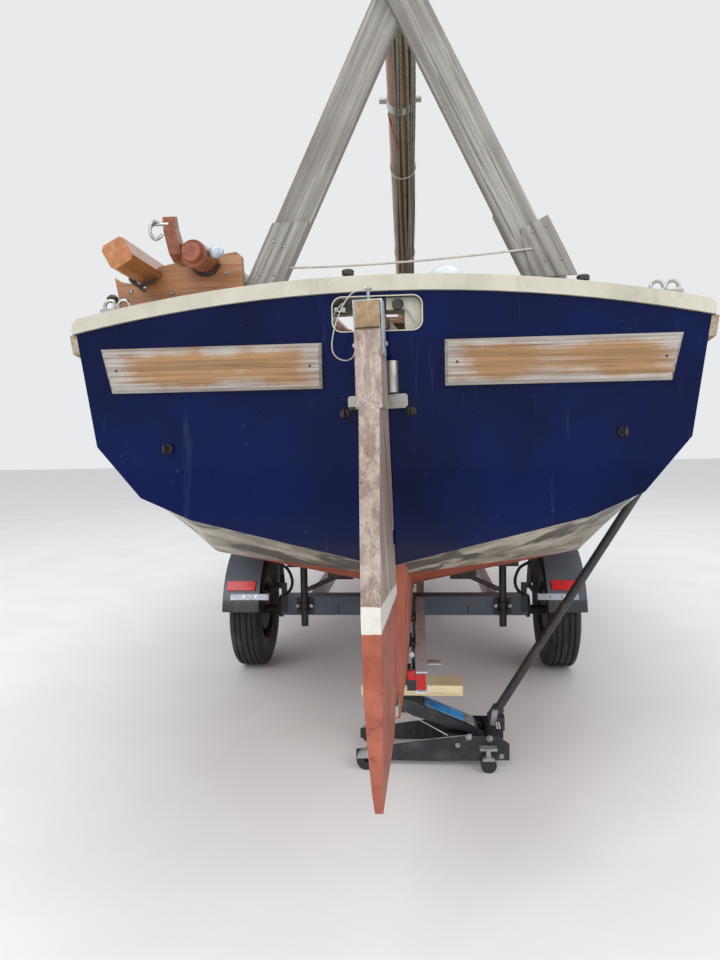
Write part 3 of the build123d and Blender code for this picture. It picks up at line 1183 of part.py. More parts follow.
def jack():
    p = JACK_PLATE
    sides = []
    for side in (-1, 1):
        y = JACK_Y + side * JACK_HALF
        plate = prism("Y", [(JACK_TAIL_X, 30), (JACK_TAIL_X, 90), (JACK_TAIL_X - 40, 118), (230, 118),
                            (JACK_NOSE_X, 62), (JACK_NOSE_X, 24), (120, 22)], y - p / 2, y + p / 2)
        sides.append(plate)
    frame = sides[0] + sides[1]
    frame += rod((JACK_PIVOT_X, JACK_Y - JACK_HALF, JACK_PIVOT_Z), (JACK_PIVOT_X, JACK_Y + JACK_HALF, JACK_PIVOT_Z), 14)
    frame += box(330, 352, JACK_Y - JACK_HALF, JACK_Y + JACK_HALF, 36, 112)
    frame += rod((352, JACK_Y, 74), (170, JACK_Y, 74), 26)
    frame += rod((-110, JACK_Y - JACK_HALF - 20, 36), (-110, JACK_Y + JACK_HALF + 20, 36), 8)
    frame += box(340, 400, JACK_Y - 26, JACK_Y + 26, 110, 160)
    save("jack_frame", frame)
    wheels_found = []
    for side in (-1, 1):
        y = JACK_Y + side * (JACK_HALF + 22)
        wheels_found.append(tube((-110, y - 14, 36), (-110, y + 14, 36), 36, 8 + SEAT))
        cy = JACK_Y + side * (JACK_HALF + 34)
        castor = rod((330, cy - 11, CASTOR_R), (330, cy + 11, CASTOR_R), CASTOR_R)
        castor += box(322, 338, cy - 4, cy + 4, 50, 84)
        castor += box(300, 362, min(cy, y - side * 19), max(cy, y - side * 19), 76, 84)
        wheels_found.append(castor)
    save("jack_castors", *wheels_found)
    top = (SADDLE_X, PLANK_LOW - 24)
    arm = prism("Y", [(JACK_PIVOT_X - 20, 72 + 34), (JACK_PIVOT_X, 124), (top[0] + 20, top[1] + 8),
                      (top[0] - 34, top[1] - 4), (top[0] - 20, top[1] - 38)], JACK_Y - 50, JACK_Y + 50)
    arm += rod((top[0], JACK_Y, top[1] - 4), (top[0], JACK_Y, PLANK_LOW - SEAT), 42)
    for side in (-1, 1):
        arm += rod((JACK_PIVOT_X, JACK_Y + side * 30, JACK_PIVOT_Z), (JACK_PIVOT_X, JACK_Y + side * 50, JACK_PIVOT_Z), 28)
    arm -= rod((JACK_PIVOT_X, JACK_Y - 60, JACK_PIVOT_Z), (JACK_PIVOT_X, JACK_Y + 60, JACK_PIVOT_Z), 14 + SEAT)
    save("jack_arm", arm)
    lean = math.radians(HANDLE_LEAN)
    x, z = HANDLE_START
    end = (x + HANDLE_LONG * math.sin(lean), JACK_Y, z + HANDLE_LONG * math.cos(lean))
    socket = (x - 60 * math.sin(lean), JACK_Y, z - 60 * math.cos(lean))
    handle = rod((x, JACK_Y, z), end, HANDLE_R) + rod(socket, (x, JACK_Y, z), 23)
    handle -= box(330, 410, JACK_Y - 40, JACK_Y + 40, 90, 160 + SEAT)
    save("jack_handle", handle)
    save("jack_plank", box(PLANK_LEFT, PLANK_RIGHT, JACK_Y - PLANK_HALF, JACK_Y + PLANK_HALF, PLANK_LOW,
                           RAIL_LOW - SEAT))


for build in (hull_shell, long_keel, deck, deck_edge_cap, rubbing_strakes, cockpit_well, coamings, coachroof,
              portlight_glass, companion_hatch, companion_doors, locker_lids, forehatch, name_boards,
              transom_fittings, rudder_blade, rudder_irons, tiller, mast, tabernacle, crutch, spar_crutches,
              spars, samson_post, handrails, fairleads, chainplates, wheels, axle, trailer_frame, keel_rails,
              support_posts, mudguards, winch_post, coupling_head, jockey, jack):
    build()
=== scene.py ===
import math

import bpy
from mathutils import Matrix, Vector


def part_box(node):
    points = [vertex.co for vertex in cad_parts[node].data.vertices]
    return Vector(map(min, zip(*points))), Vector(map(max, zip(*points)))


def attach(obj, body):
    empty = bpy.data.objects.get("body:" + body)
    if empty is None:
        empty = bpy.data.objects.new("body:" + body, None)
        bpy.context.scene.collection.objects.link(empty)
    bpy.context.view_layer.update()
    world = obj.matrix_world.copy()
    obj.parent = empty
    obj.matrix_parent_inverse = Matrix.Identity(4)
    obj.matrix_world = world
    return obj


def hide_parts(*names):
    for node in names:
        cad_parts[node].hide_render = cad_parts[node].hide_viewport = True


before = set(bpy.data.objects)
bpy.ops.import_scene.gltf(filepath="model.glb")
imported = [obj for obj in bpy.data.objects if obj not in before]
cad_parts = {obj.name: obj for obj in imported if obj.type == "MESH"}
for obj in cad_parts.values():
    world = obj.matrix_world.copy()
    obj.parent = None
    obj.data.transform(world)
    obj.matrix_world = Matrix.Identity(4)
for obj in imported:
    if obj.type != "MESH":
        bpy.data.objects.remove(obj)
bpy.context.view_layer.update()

bl_info = {
    "name": "Gaff cutter on a trailer",
    "version": (1, 0, 0),
    "blender": (4, 5, 0),
    "location": "3D View > Sidebar > Cutter",
    "description": "Dresses the packed cutter, its trailer and its jack with finishes, ropes and small gear",
    "category": "Object",
}

TRANSOM_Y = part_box("hull_shell")[0][1]
RUDDER_TURN = math.radians(-2.5)
RUDDER_LEAN = math.radians(1.7)
LEAN_Z = 0.75                  # where the leaning pintles cross the middle
PINTLE_Y = -0.05
AXLE = (1.77, 0.29)            # y, z of the wheels' centres, forward of the transom
WHEEL_X = 0.80
TYRE_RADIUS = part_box("tyre_port")[1][2] / 2
STRIP_ANGLE = math.radians(22.7)   # of the mudguards' strips, up from straight aft
STRIP_RADIUS = 0.3675
ROOT = "boat_on_trailer"
SPAR_BOARD_AFT = 0.093         # y of the spar board's after face
LEG_LEAN = math.radians(25.8)  # of the crutch's legs
MAST_RADIUS = 0.0525
MAST_PIVOT = (0, 4.22, 1.962)
MAST_SLOPE = math.radians(11.17)
MAST_WAY = (0.0125, -math.cos(MAST_SLOPE), math.sin(MAST_SLOPE))
MAST_TAPER = (4.4, 1.1, 0.31)  # from the pivot to where it starts, its length, and how much it takes off
BOOT_LOW, BOOT_HIGH = 0.762, 0.835
BOOT_SWEEP, BOOT_SWEEP_LONG = 0.20, 2.2   # the boot top rises towards the transom, over this length
BAND_LOW, BAND_HIGH = 0.772, 0.800        # of the rudder's white band
BOARD_X, BOARD_Z = 0.49, 1.4105           # middle of a transom board
SIDES = (("port", -1), ("starboard", 1))
ALONG_X, ALONG_Y, ALONG_Z = (1, 0, 0), (0, 1, 0), (0, 0, 1)
AFT = (0, -1, 0)
UPRIGHT = (math.pi / 2, 0, 0)   # stands a plate up, facing aft
VIEW_PLACE = (0.0955, -2.0229, 1.2011)    # of the camera
VIEW_TURN = (0.0825, 0.0563, -0.0192)     # its yaw, pitch and roll in radians
VIEW_FOCUS = 715 / 960                    # its focal length over the picture's height
SENSOR_HIGH = 24.0                        # mm


# Places

def at(x, y, z):
    """A point given in metres to starboard, forward of the transom and above the ground."""
    return Vector((x, y + TRANSOM_Y, z))


def mast_taper(s):
    """The mast's thickness at s metres from its pivot, as a share of its thickest part."""
    start, long, share = MAST_TAPER
    return 1 - max(0.0, (s - start) / long) * share


def on_rudder(x, y, z):
    """A point given for the rudder amidships and upright, moved to where the rudder stands."""
    c, s = math.cos(RUDDER_TURN), math.sin(RUDDER_TURN)
    dy = y - PINTLE_Y
    x, y, up = x * c - dy * s, PINTLE_Y + x * s + dy * c, z - LEAN_Z
    c, s = math.cos(RUDDER_LEAN), math.sin(RUDDER_LEAN)
    return at(x * c - up * s, y, LEAN_Z + x * s + up * c)


def tone(code):
    """A colour as it looks, written as #rrggbb, in the linear values that shaders use."""
    found = []
    for k in (1, 3, 5):
        v = int(code[k:k + 2], 16) / 255
        found.append(v / 12.92 if v <= 0.04045 else ((v + 0.055) / 1.055) ** 2.4)
    return tuple(found)


# Modelling

def fresh():
    """Leaves edit mode with nothing selected."""
    if bpy.context.object and bpy.context.object.mode != "OBJECT":
        bpy.ops.object.mode_set(mode="OBJECT")
    bpy.ops.object.select_all(action="DESELECT")


def settle(piece, name):
    """Names a piece and puts its place into its mesh."""
    piece.name = name
    piece.data.name = name
    bpy.ops.object.transform_apply(location=True, rotation=True, scale=True)
    return piece


def soften(piece, width, segments=2, angle=35):
    """Eases the edges with an applied bevel, and smooths what is nearly flat."""
    bevel = piece.modifiers.new("ease", "BEVEL")
    bevel.width = width
    bevel.segments = segments
    bevel.limit_method = "ANGLE"
    bevel.angle_limit = math.radians(angle)
    bpy.ops.object.modifier_apply(modifier=bevel.name)
    bpy.ops.object.shade_smooth_by_angle(angle=math.radians(40))
    return piece


def block(name, size, place, turn=(0, 0, 0), ease=0.002):
    """A bar or plate with eased edges."""
    fresh()
    bpy.ops.mesh.primitive_cube_add(size=1, location=place, rotation=turn)
    piece = bpy.context.object
    piece.scale = size
    settle(piece, name)
    return soften(piece, min(ease, min(size) * 0.45))


def outline(name, points, closed):
    """A wire through the points, drawn from one vertex by extruding it."""
    fresh()
    bpy.ops.mesh.primitive_plane_add(size=0.001, location=(0, 0, 0))
    piece = bpy.context.object
    piece.name = name
    piece.data.name = name
    bpy.ops.object.mode_set(mode="EDIT")
    bpy.ops.mesh.select_all(action="SELECT")
    bpy.ops.mesh.merge(type="CENTER")
    bpy.ops.transform.translate(value=points[0])
    for before, after in zip(points, points[1:]):
        step = Vector(after) - Vector(before)
        bpy.ops.mesh.extrude_region_move(TRANSFORM_OT_translate={"value": step})
    if closed:
        bpy.ops.mesh.select_all(action="SELECT")
        bpy.ops.mesh.edge_face_add()
    return piece


def turned(name, profile, start, end, steps=24):
    """A lathe-turned piece: profile gives distances along the line from start to end, and radii."""
    axis = Vector(end) - Vector(start)
    long = axis.length
    piece = outline(name, [(r, 0, d * long) for d, r in profile], False)
    bpy.ops.mesh.select_all(action="SELECT")
    bpy.ops.mesh.spin(steps=steps, angle=2 * math.pi, center=(0, 0, 0), axis=(0, 0, 1))
    bpy.ops.mesh.select_all(action="SELECT")
    bpy.ops.mesh.remove_doubles(threshold=0.00005)
    bpy.ops.mesh.normals_make_consistent(inside=False)
    bpy.ops.object.mode_set(mode="OBJECT")
    piece.rotation_euler = Vector((0, 0, 1)).rotation_difference(axis).to_euler()
    piece.location = start
    settle(piece, name)
    bpy.ops.object.shade_smooth_by_angle(angle=math.radians(35))
    return piece


def plate(name, points, thickness, place, turn=(0, 0, 0), ease=0.0015):
    """A flat piece: its outline lies in its own X and Y, and it is thickness deep along Z."""
    piece = outline(name, [(x, y, -thickness / 2) for x, y in points], True)
    bpy.ops.mesh.select_all(action="SELECT")
    bpy.ops.mesh.extrude_region_move(TRANSFORM_OT_translate={"value": (0, 0, thickness)})
    bpy.ops.mesh.select_all(action="SELECT")
    bpy.ops.mesh.normals_make_consistent(inside=False)
    bpy.ops.object.mode_set(mode="OBJECT")
    piece.rotation_euler = turn
    piece.location = place
    settle(piece, name)
    return soften(piece, ease)


def line(name, points, radius, ring=8, closed=False, order=3):
    """A round rope, wire or rail along a smooth curve."""
    fresh()
    curve = bpy.data.curves.new(name, "CURVE")
    curve.dimensions = "3D"
    spline = curve.splines.new("NURBS")
    spline.points.add(len(points) - 1)
    for slot, p in zip(spline.points, points):
        slot.co = (*p, 1)
    spline.order_u = order
    spline.use_endpoint_u = not closed
    spline.use_cyclic_u = closed
    curve.bevel_depth = radius
    curve.bevel_resolution = max(0, ring // 4)
    curve.resolution_u = 6
    curve.use_fill_caps = not closed
    piece = bpy.data.objects.new(name, curve)
    bpy.context.collection.objects.link(piece)
    bpy.context.view_layer.objects.active = piece
    piece.select_set(True)
    bpy.ops.object.convert(target="MESH")
    piece = bpy.context.object
    piece.data.name = name
    bpy.ops.object.shade_smooth_by_angle(angle=math.radians(50))
    return piece


def joined(name, pieces):
    """Several pieces of one finish made into one."""
    fresh()
    for p in pieces:
        p.select_set(True)
    bpy.context.view_layer.objects.active = pieces[0]
    bpy.ops.object.join()
    piece = bpy.context.object
    piece.name = name
    piece.data.name = name
    return piece


def dress(piece, finish_name, body=ROOT):
    """Gives a piece its finish and the body that it moves with."""
    piece.data.materials.clear()
    piece.data.materials.append(finish(finish_name))
    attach(piece, body)
    return piece


def bolt(name, place, way, size):
    """A hexagon head on a washer; way points out of the surface."""
    out = Vector(way).normalized()
    ring = washer(name + "_washer", place, way, size, size * 0.22)
    fresh()
    bpy.ops.mesh.primitive_cylinder_add(vertices=6, radius=size * 0.62, depth=size * 0.55,
                                        location=Vector(place) + out * size * 0.48,
                                        rotation=Vector((0, 0, 1)).rotation_difference(out).to_euler())
    head = settle(bpy.context.object, name)
    soften(head, size * 0.06)
    return joined(name, [head, ring])


def cup_screw(name, place, way, radius):
    """A countersunk screw in a raised cup washer."""
    out = Vector(way).normalized()
    return turned(name, [(0, 0), (0, radius), (0.6, radius * 0.86), (1, radius * 0.66), (0.7, radius * 0.5),
                         (0.66, 0)], place, Vector(place) + out * radius * 0.42, 20)


def washer(name, place, way, radius, thick=0.0015):
    out = Vector(way).normalized()
    return turned(name, [(0, 0), (0, radius * 0.96), (0.2, radius), (0.8, radius), (1, radius * 0.94), (1, 0)],
                  place, Vector(place) + out * thick, 20)


def sheave(rim, cheek, core, edge, groove):
    """The profile of a block: two cheeks with a groove between them; edge and groove are shares of its width."""
    return [(0, 0), (0, rim), (0.15, cheek), (edge, cheek), (groove, core), (1 - groove, core), (1 - edge, cheek),
            (0.85, cheek), (1, rim), (1, 0)]


def lathe(name, look, profile, start, end, steps=24, body=ROOT):
    """A turned piece between two places on the boat, with its finish."""
    return dress(turned(name, profile, at(*start), at(*end), steps), look, body)


def cord(name, look, places, radius, order=3):
    """A rope, wire or bent rod through places on the boat, with its finish."""
    return dress(line(name, [at(*p) for p in places], radius, order=order), look)


def bar(name, look, size, place, turn=(0, 0, 0), ease=0.001, body=ROOT):
    """A bar or plate at a place on the boat, with its finish."""
    return dress(block(name, size, at(*place), turn, ease), look, body)


# Shader building

class Nodes:
    """Short names for adding and linking nodes in one tree."""

    def __init__(self, tree, material=None):
        self.tree = tree
        self.material = material
        self.shader = tree.nodes.get("Principled BSDF")

    def add(self, kind, inputs=None, **settings):
        node = self.tree.nodes.new("ShaderNode" + kind)
        for key, value in settings.items():
            setattr(node, key, value)
        for key, value in (inputs or {}).items():
            self.feed(node, key, value)
        return node

    def feed(self, node, key, value):
        socket = node.inputs[key]
        if isinstance(value, bpy.types.NodeSocket):
            self.tree.links.new(value, socket)
        elif hasattr(value, "__len__") and socket.type == "RGBA" and len(value) == 3:
            socket.default_value = (*value, 1)
        else:
            socket.default_value = value

    def parts(self, vector):
        return self.add("SeparateXYZ", {"Vector": vector}).outputs

    def noise(self, vector, scale, detail=4, rough=0.6, twist=0.0):
        return self.add("TexNoise", {"Vector": vector, "Scale": scale, "Detail": detail, "Roughness": rough,
                                     "Distortion": twist}).outputs["Fac"]

    def ramp(self, value, low, high, from_value=0.0, to_value=1.0):
        return self.add("MapRange", {"Value": value, "From Min": low, "From Max": high, "To Min": from_value,
                                     "To Max": to_value}, interpolation_type="SMOOTHSTEP").outputs["Result"]

    def patches(self, vector, scale, low, high, detail=6, rough=0.6):
        """A mask of noise that rises from low to high."""
        return self.ramp(self.noise(vector, scale, detail, rough), low, high)

    def math(self, kind, a, b=None, clamp=False):
        node = self.add("Math", operation=kind, use_clamp=clamp)
        self.feed(node, 0, a)
        if b is not None:
            self.feed(node, 1, b)
        return node.outputs[0]

    def plus(self, a, b, clamp=False):
        return self.math("ADD", a, b, clamp)

    def minus(self, a, b):
        return self.math("SUBTRACT", a, b)

    def times(self, a, b, clamp=False):
        return self.math("MULTIPLY", a, b, clamp)

    def less(self, a, b):
        return self.math("LESS_THAN", a, b)

    def more(self, a, b):
        return self.math("GREATER_THAN", a, b)

    def mix(self, factor, a, b):
        node = self.add("Mix", data_type="RGBA")
        for socket, value in ((0, factor), (6, a), (7, b)):
            self.feed(node, socket, value)
        return node.outputs[2]

    def bump(self, height, strength, distance=0.0008):
        return self.add("Bump", {"Strength": strength, "Distance": distance, "Height": height}).outputs["Normal"]

    def group(self, name, **inputs):
        """The outputs of a shared group that is given these inputs."""
        return self.add("Group", inputs, node_tree=shared(name)).outputs

    def surface(self, colour, roughness, normal=None, others=None):
        """Feeds the material's shader and returns the material."""
        inputs = {"Base Color": colour, "Roughness": roughness, "Normal": normal, **(others or {})}
        for key, value in inputs.items():
            if value is not None:
                self.feed(self.shader, key, value)
        return self.material


def new_group(name, inputs, outputs):
    """An empty node group; the sockets' kinds are given as words parted by spaces."""
    tree = bpy.data.node_groups.new(name, "ShaderNodeTree")
    kinds = {"color": "NodeSocketColor", "value": "NodeSocketFloat", "vector": "NodeSocketVector"}
    for side, sockets in (("INPUT", inputs), ("OUTPUT", outputs)):
        for kind, labels in sockets:
            for label in labels.split():
                tree.interface.new_socket(name=label, in_out=side, socket_type=kinds[kind])
    return Nodes(tree), tree.nodes.new("NodeGroupInput").outputs, tree.nodes.new("NodeGroupOutput")


def timber_group():
    """Grain, checks and greying of timber. The grain runs along the vector's X."""
    n, given, out = new_group(
        "Timber", (("vector", "Vector Place"), ("color", "Fresh Grey Dark"), ("value", "Weather Sheen Relief")),
        (("color", "Color"), ("value", "Roughness"), ("vector", "Normal")))
    broad = n.noise(given["Vector"], 1.0, 5, 0.6, 0.35)
    fibre = n.noise(given["Vector"], 5.5, 6, 0.7, 0.1)
    check = n.noise(given["Vector"], 2.4, 3, 0.5, 0.2)
    greyed = n.plus(n.times(n.patches(given["Place"], 5.0, 0.35, 0.65, 4), 0.5), given["Weather"])
    greyed = n.plus(greyed, n.times(n.ramp(broad, 0.3, 0.7), 0.35))
    greyed = n.ramp(greyed, 0.45, 1.15)
    colour = n.mix(greyed, given["Fresh"], given["Grey"])
    streak = n.mix(n.ramp(broad, 0.38, 0.62), given["Dark"], colour)
    colour = n.mix(0.45, colour, streak)
    lines = n.ramp(fibre, 0.32, 0.62)
    colour = n.mix(n.times(n.minus(1.0, lines), 0.42), colour, given["Dark"])
    cracks = n.ramp(check, 0.30, 0.345)
    colour = n.mix(n.times(n.minus(1.0, cracks), 0.55), colour, given["Dark"])
    n.feed(out, "Color", colour)
    n.feed(out, "Roughness", n.plus(given["Sheen"], n.times(greyed, 0.35), True))
    n.feed(out, "Normal", n.bump(n.plus(n.times(lines, 0.6), cracks), given["Relief"], 0.0012))
    return n.tree


def grime_group():
    """Dirt that gathers in patches and runs, for paint, plastic and metal."""
    n, given, out = new_group(
        "Grime", (("vector", "Place"), ("color", "Base Dirt"), ("value", "Amount Scale Rough")),
        (("color", "Color"), ("value", "Roughness Mask")))
    patch = n.noise(given["Place"], given["Scale"], 6, 0.62, 0.2)
    speck = n.noise(given["Place"], n.times(given["Scale"], 9.0), 3, 0.5)
    drawn_down = n.add("Mapping", {"Vector": given["Place"], "Scale": (9.0, 9.0, 0.9)}).outputs[0]
    run = n.noise(drawn_down, n.times(given["Scale"], 0.7), 4, 0.6)
    mask = n.plus(n.ramp(patch, 0.42, 0.75), n.times(n.ramp(run, 0.5, 0.75), 0.5))
    mask = n.plus(mask, n.times(n.ramp(speck, 0.6, 0.7), 0.35))
    mask = n.times(mask, given["Amount"], True)
    n.feed(out, "Color", n.mix(mask, given["Base"], given["Dirt"]))
    n.feed(out, "Roughness", n.plus(given["Rough"], n.times(mask, 0.35), True))
    n.feed(out, "Mask", mask)
    return n.tree


GROUPS = {}


def shared(name):
    """A node group by name; both are made on first use."""
    if not GROUPS:
        GROUPS["Timber"] = timber_group()
        GROUPS["Grime"] = grime_group()
    return GROUPS[name]


def new_material(name):
    """The nodes of an empty material, and the object's own coordinates."""
    material = bpy.data.materials.new(name)
    material.use_nodes = True
    n = Nodes(material.node_tree, material)
    return n, n.add("TexCoord").outputs["Object"]


def hue(code):
    """A colour from its #rrggbb code, or from its name among the looks."""
    return tone(code) if code.startswith("#") else getattr(looks(), code)


def grained(n, place, along, long, fine, **values):
    """The timber group's outputs, with grain along a direction; long and fine are its length and width."""
    turn = Vector((1, 0, 0)).rotation_difference(Vector(along)).to_euler()
    grain = n.add("Mapping", {"Vector": place, "Rotation": turn, "Scale": (long, fine, fine)},
                  vector_type="TEXTURE").outputs[0]
    return n.group("Timber", Vector=grain, Place=place, **values)


def dirtied(n, place, base, dirt, amount, scale, rough):
    """Colour and roughness of a surface with dirt on it."""
    film = n.group("Grime", Place=place, Base=base, Dirt=hue(dirt), Amount=amount, Scale=scale, Rough=rough)
    return film["Color"], film["Roughness"]


def fine_grain(n, place, scale, strength):
    """A fine unevenness for paint, plastic and cast metal."""
    return n.bump(n.noise(place, scale, 3), strength)


def timber(name, fresh_colour, grey, dark, along, weather, sheen=0.35, relief=0.5, long=0.9, coat=0.0):
    """Wood whose grain runs along a direction; weather goes from 0, varnished, to 1, bare and grey."""
    n, place = new_material(name)
    wood = grained(n, place, along, long, 0.022, Fresh=hue(fresh_colour), Grey=hue(grey), Dark=hue(dark),
                   Weather=weather, Sheen=sheen, Relief=relief)
    return n.surface(wood["Color"], wood["Roughness"], wood["Normal"],
                     {"Coat Weight": coat, "Coat Roughness": 0.18})


def painted(name, base, dirt, amount, scale, rough, metal=0.0, coat=0.0, grain=0.0, grain_scale=400):
    """Paint, plastic, rubber or bare metal with dirt on it."""
    n, place = new_material(name)
    normal = fine_grain(n, place, grain_scale, grain) if grain else None
    return n.surface(*dirtied(n, place, hue(base), dirt, amount, scale, rough), normal,
                     {"Metallic": metal, "Coat Weight": coat})


def wavering_height(n, place, scale, depth):
    """Height above the ground, waved a little so that painted lines aren't ruled."""
    wave = n.times(n.minus(n.noise(place, scale, 3, 0.5), 0.5), depth)
    return n.plus(n.parts(place)["Z"], wave)


def forward_of_transom(n, place):
    return n.minus(n.parts(place)["Y"], TRANSOM_Y)


def bottom_paint(n, place, scale, worn, share):
    """Antifouling, faded in patches, with undercoat where it is worn."""
    k = looks()
    faded = n.mix(n.patches(place, scale, 0.36, 0.66), k.antifouling, k.antifouling_pale)
    return n.mix(n.times(worn, share), faded, k.antifouling_scuff)


def hull_finish(name):
    """Topsides over a boot top over antifouling, parted by height; the transom is topside colour all over."""
    k = looks()
    n, place = new_material(name)
    forward = forward_of_transom(n, place)
    height = wavering_height(n, place, 3.0, 0.012)
    sweep = n.math("POWER", n.math("MAXIMUM", n.minus(1.0, n.math("DIVIDE", forward, BOOT_SWEEP_LONG)), 0.0), 2.0)
    boot_high = n.plus(BOOT_HIGH, n.times(sweep, BOOT_SWEEP))
    topside = n.math("MAXIMUM", n.more(height, boot_high), n.less(forward, 0.003))
    drawn_down = n.add("Mapping", {"Vector": place, "Scale": (1.0, 1.0, 0.12)}).outputs[0]
    streaks = n.patches(drawn_down, 22.0, 0.6, 0.78, 4)
    marks = n.patches(place, 46.0, 0.66, 0.74, 5, 0.62)
    navy = n.mix(n.patches(place, 2.2, 0.35, 0.7, 4, 0.55), k.topside, k.topside_deep)
    navy = n.mix(n.times(streaks, 0.16), navy, k.chalk)
    navy = n.mix(n.times(marks, 0.12), navy, k.chalk)
    boot = n.mix(n.patches(place, 7.0, 0.36, 0.62, 6, 0.65), k.boot_top, k.boot_dirt)
    weed = n.ramp(n.noise(place, 4.5, 5, 0.6, 0.6), 0.50, 0.58)
    boot = n.mix(n.times(weed, 0.85), boot, k.slime)
    red = bottom_paint(n, place, 9.0, n.patches(place, 30.0, 0.62, 0.72, 6, 0.66), 0.5)
    bottom = n.less(height, BOOT_LOW)
    rough_top = n.plus(0.07, n.times(marks, 0.25))
    rough_low = n.plus(0.42, n.times(bottom, 0.3))
    rough = n.plus(n.times(topside, rough_top), n.times(n.minus(1.0, topside), rough_low))
    return n.surface(n.mix(topside, n.mix(bottom, boot, red), navy), rough,
                     n.bump(n.noise(place, 14.0, 2, 0.4), 0.05, 0.004), {"Specular IOR Level": 0.15})


def banded_timber(name):
    """The rudder: bare timber, a white band at the waterline and antifouling below it."""
    k = looks()
    n, place = new_material(name)
    wood = grained(n, place, (0, -0.18, 1), 1.1, 0.02, Fresh=k.rudder_wood, Grey=k.rudder_grey,
                   Dark=k.rudder_dark, Weather=0.45, Sheen=0.45, Relief=0.5)
    forward = forward_of_transom(n, place)
    height = wavering_height(n, place, 18.0, 0.010)
    below_wood = n.less(height, n.plus(BAND_HIGH, n.times(forward, -0.05)))
    below_white = n.less(height, n.plus(BAND_LOW, n.times(forward, 0.027)))
    stain = n.times(n.patches(place, 26.0, 0.5, 0.8, 6, 0.62), 0.35)
    white = n.mix(stain, k.band_white, k.boot_dirt)
    red = bottom_paint(n, place, 11.0, n.patches(place, 24.0, 0.57, 0.68, 6, 0.68), 0.55)
    colour = n.mix(below_white, n.mix(below_wood, wood["Color"], white), red)
    return n.surface(colour, n.plus(0.42, n.times(below_white, 0.1)), wood["Normal"])


def board_finish(name):
    """The transom boards: varnish left in the middle, bare grey timber round the edges."""
    k = looks()
    n, place = new_material(name)
    xyz = n.parts(place)
    from_middle = n.math("ABSOLUTE", n.minus(xyz["Z"], BOARD_Z))
    from_centre = n.math("ABSOLUTE", n.minus(n.math("ABSOLUTE", xyz["X"]), BOARD_X))
    edge = n.math("MAXIMUM", n.ramp(from_middle, 0.022, 0.060), n.ramp(from_centre, 0.19, 0.31))
    patch = n.minus(n.noise(place, 11.0, 5), 0.5)
    weather = n.minus(n.plus(n.times(edge, 0.85), n.times(patch, 0.9)), 0.12)
    wood = grained(n, place, ALONG_X, 0.7, 0.012, Fresh=k.board_varnish, Grey=k.board_grey, Dark=k.board_dark,
                   Weather=weather, Sheen=0.35, Relief=0.6)
    return n.surface(wood["Color"], wood["Roughness"], wood["Normal"])


def fittings_finish(name):
    """Transom fittings: dull stainless steel, with eyes of black steel out along the transom."""
    n, place = new_material(name)
    colour, rough = dirtied(n, place, looks().steel, "#7d7a72", 0.6, 16.0, 0.3)
    xyz = n.parts(place)
    eye = n.times(n.more(n.math("ABSOLUTE", xyz["X"]), 0.062), n.less(xyz["Z"], 1.2935))
    rust = n.mix(n.patches(place, 60.0, 0.4, 0.7, 4), tone("#2a2624"), tone("#4a3b30"))
    return n.surface(n.mix(eye, colour, rust), rough, None, {"Metallic": n.minus(0.9, n.times(eye, 0.6))})


def parted(name, inner, outer, edge, axis):
    """Steel in two colours: inner where the place along an axis is below the edge, outer beyond it; a dark inner
    is painted shade on the wheels.
    """
    n, place = new_material(name)
    beyond = n.more(n.math("ABSOLUTE", n.parts(place)[axis]), edge)
    base = n.mix(beyond, tone(inner), tone(outer))
    return n.surface(*dirtied(n, place, base, "#5d574c", 0.4, 11.0, 0.42), fine_grain(n, place, 180.0, 0.1),
                     {"Metallic": 0.3})


def stay_finish(name):
    """Mudguard stays: a galvanised strip across the guard, on black brackets."""
    n, place = new_material(name)
    strip = n.less(n.parts(place)["Y"], TRANSOM_Y + 1.46)
    base = n.mix(strip, tone("#26282b"), tone("#a8b0ba"))
    return n.surface(*dirtied(n, place, base, "#6d6a64", 0.4, 12.0, 0.38), None, {"Metallic": n.times(strip, 0.4)})


def guard_finish(name):
    """Mudguards: faded blue-grey plastic over a darker skirt."""
    n, place = new_material(name)
    base = n.mix(n.ramp(n.parts(place)["Z"], 0.405, 0.425), tone("#23272c"), tone("#4a525d"))
    return n.surface(*dirtied(n, place, base, "#6a675f", 0.28, 5.0, 0.34), fine_grain(n, place, 700.0, 0.12))


def rope(name, colour, dark, turns):
    """Laid rope: strands cross the line's own length at a slant, with painted shade in the grooves between them.
    """
    n, place = new_material(name)
    uv = n.parts(n.add("TexCoord").outputs["UV"])
    slant = n.plus(n.times(uv["X"], turns), n.times(uv["Y"], 3.0))
    height = n.ramp(n.math("SINE", n.times(slant, 2 * math.pi)), -1.0, 0.6)
    tint = n.mix(n.times(n.patches(place, 30.0, 0.4, 0.7, 4), 0.5), hue(colour), hue(dark))
    # Painted shade: the colour darkens in the grooves between the strands
    return n.surface(n.mix(n.times(n.minus(1.0, height), 0.6), tint, hue(dark)), 0.85, n.bump(height, 0.7, 0.001))


def glass_finish(name):
    n, place = new_material(name)
    rough = n.ramp(n.noise(place, 30.0), 0.3, 0.8, 0.02, 0.14)
    return n.surface((0.75, 0.80, 0.82), rough, None, {"Transmission Weight": 1.0, "IOR": 1.45})


def lens_finish(name):
    """Reflector: a red lens over a fine prism pattern."""
    n, place = new_material(name)
    red = tone("#ee1820")
    cells = n.add("TexVoronoi", {"Vector": place, "Scale": 260.0}).outputs["Distance"]
    return n.surface(n.mix(n.ramp(cells, 0.1, 0.6), red, tuple(c * 0.55 for c in red)), 0.18, n.bump(cells, 0.25))


# Sizes and colours that a user would change

def shade(label, words, code):
    return bpy.props.FloatVectorProperty(name=label, description=words, subtype="COLOR", size=3, min=0, max=1,
                                         default=tone(code))


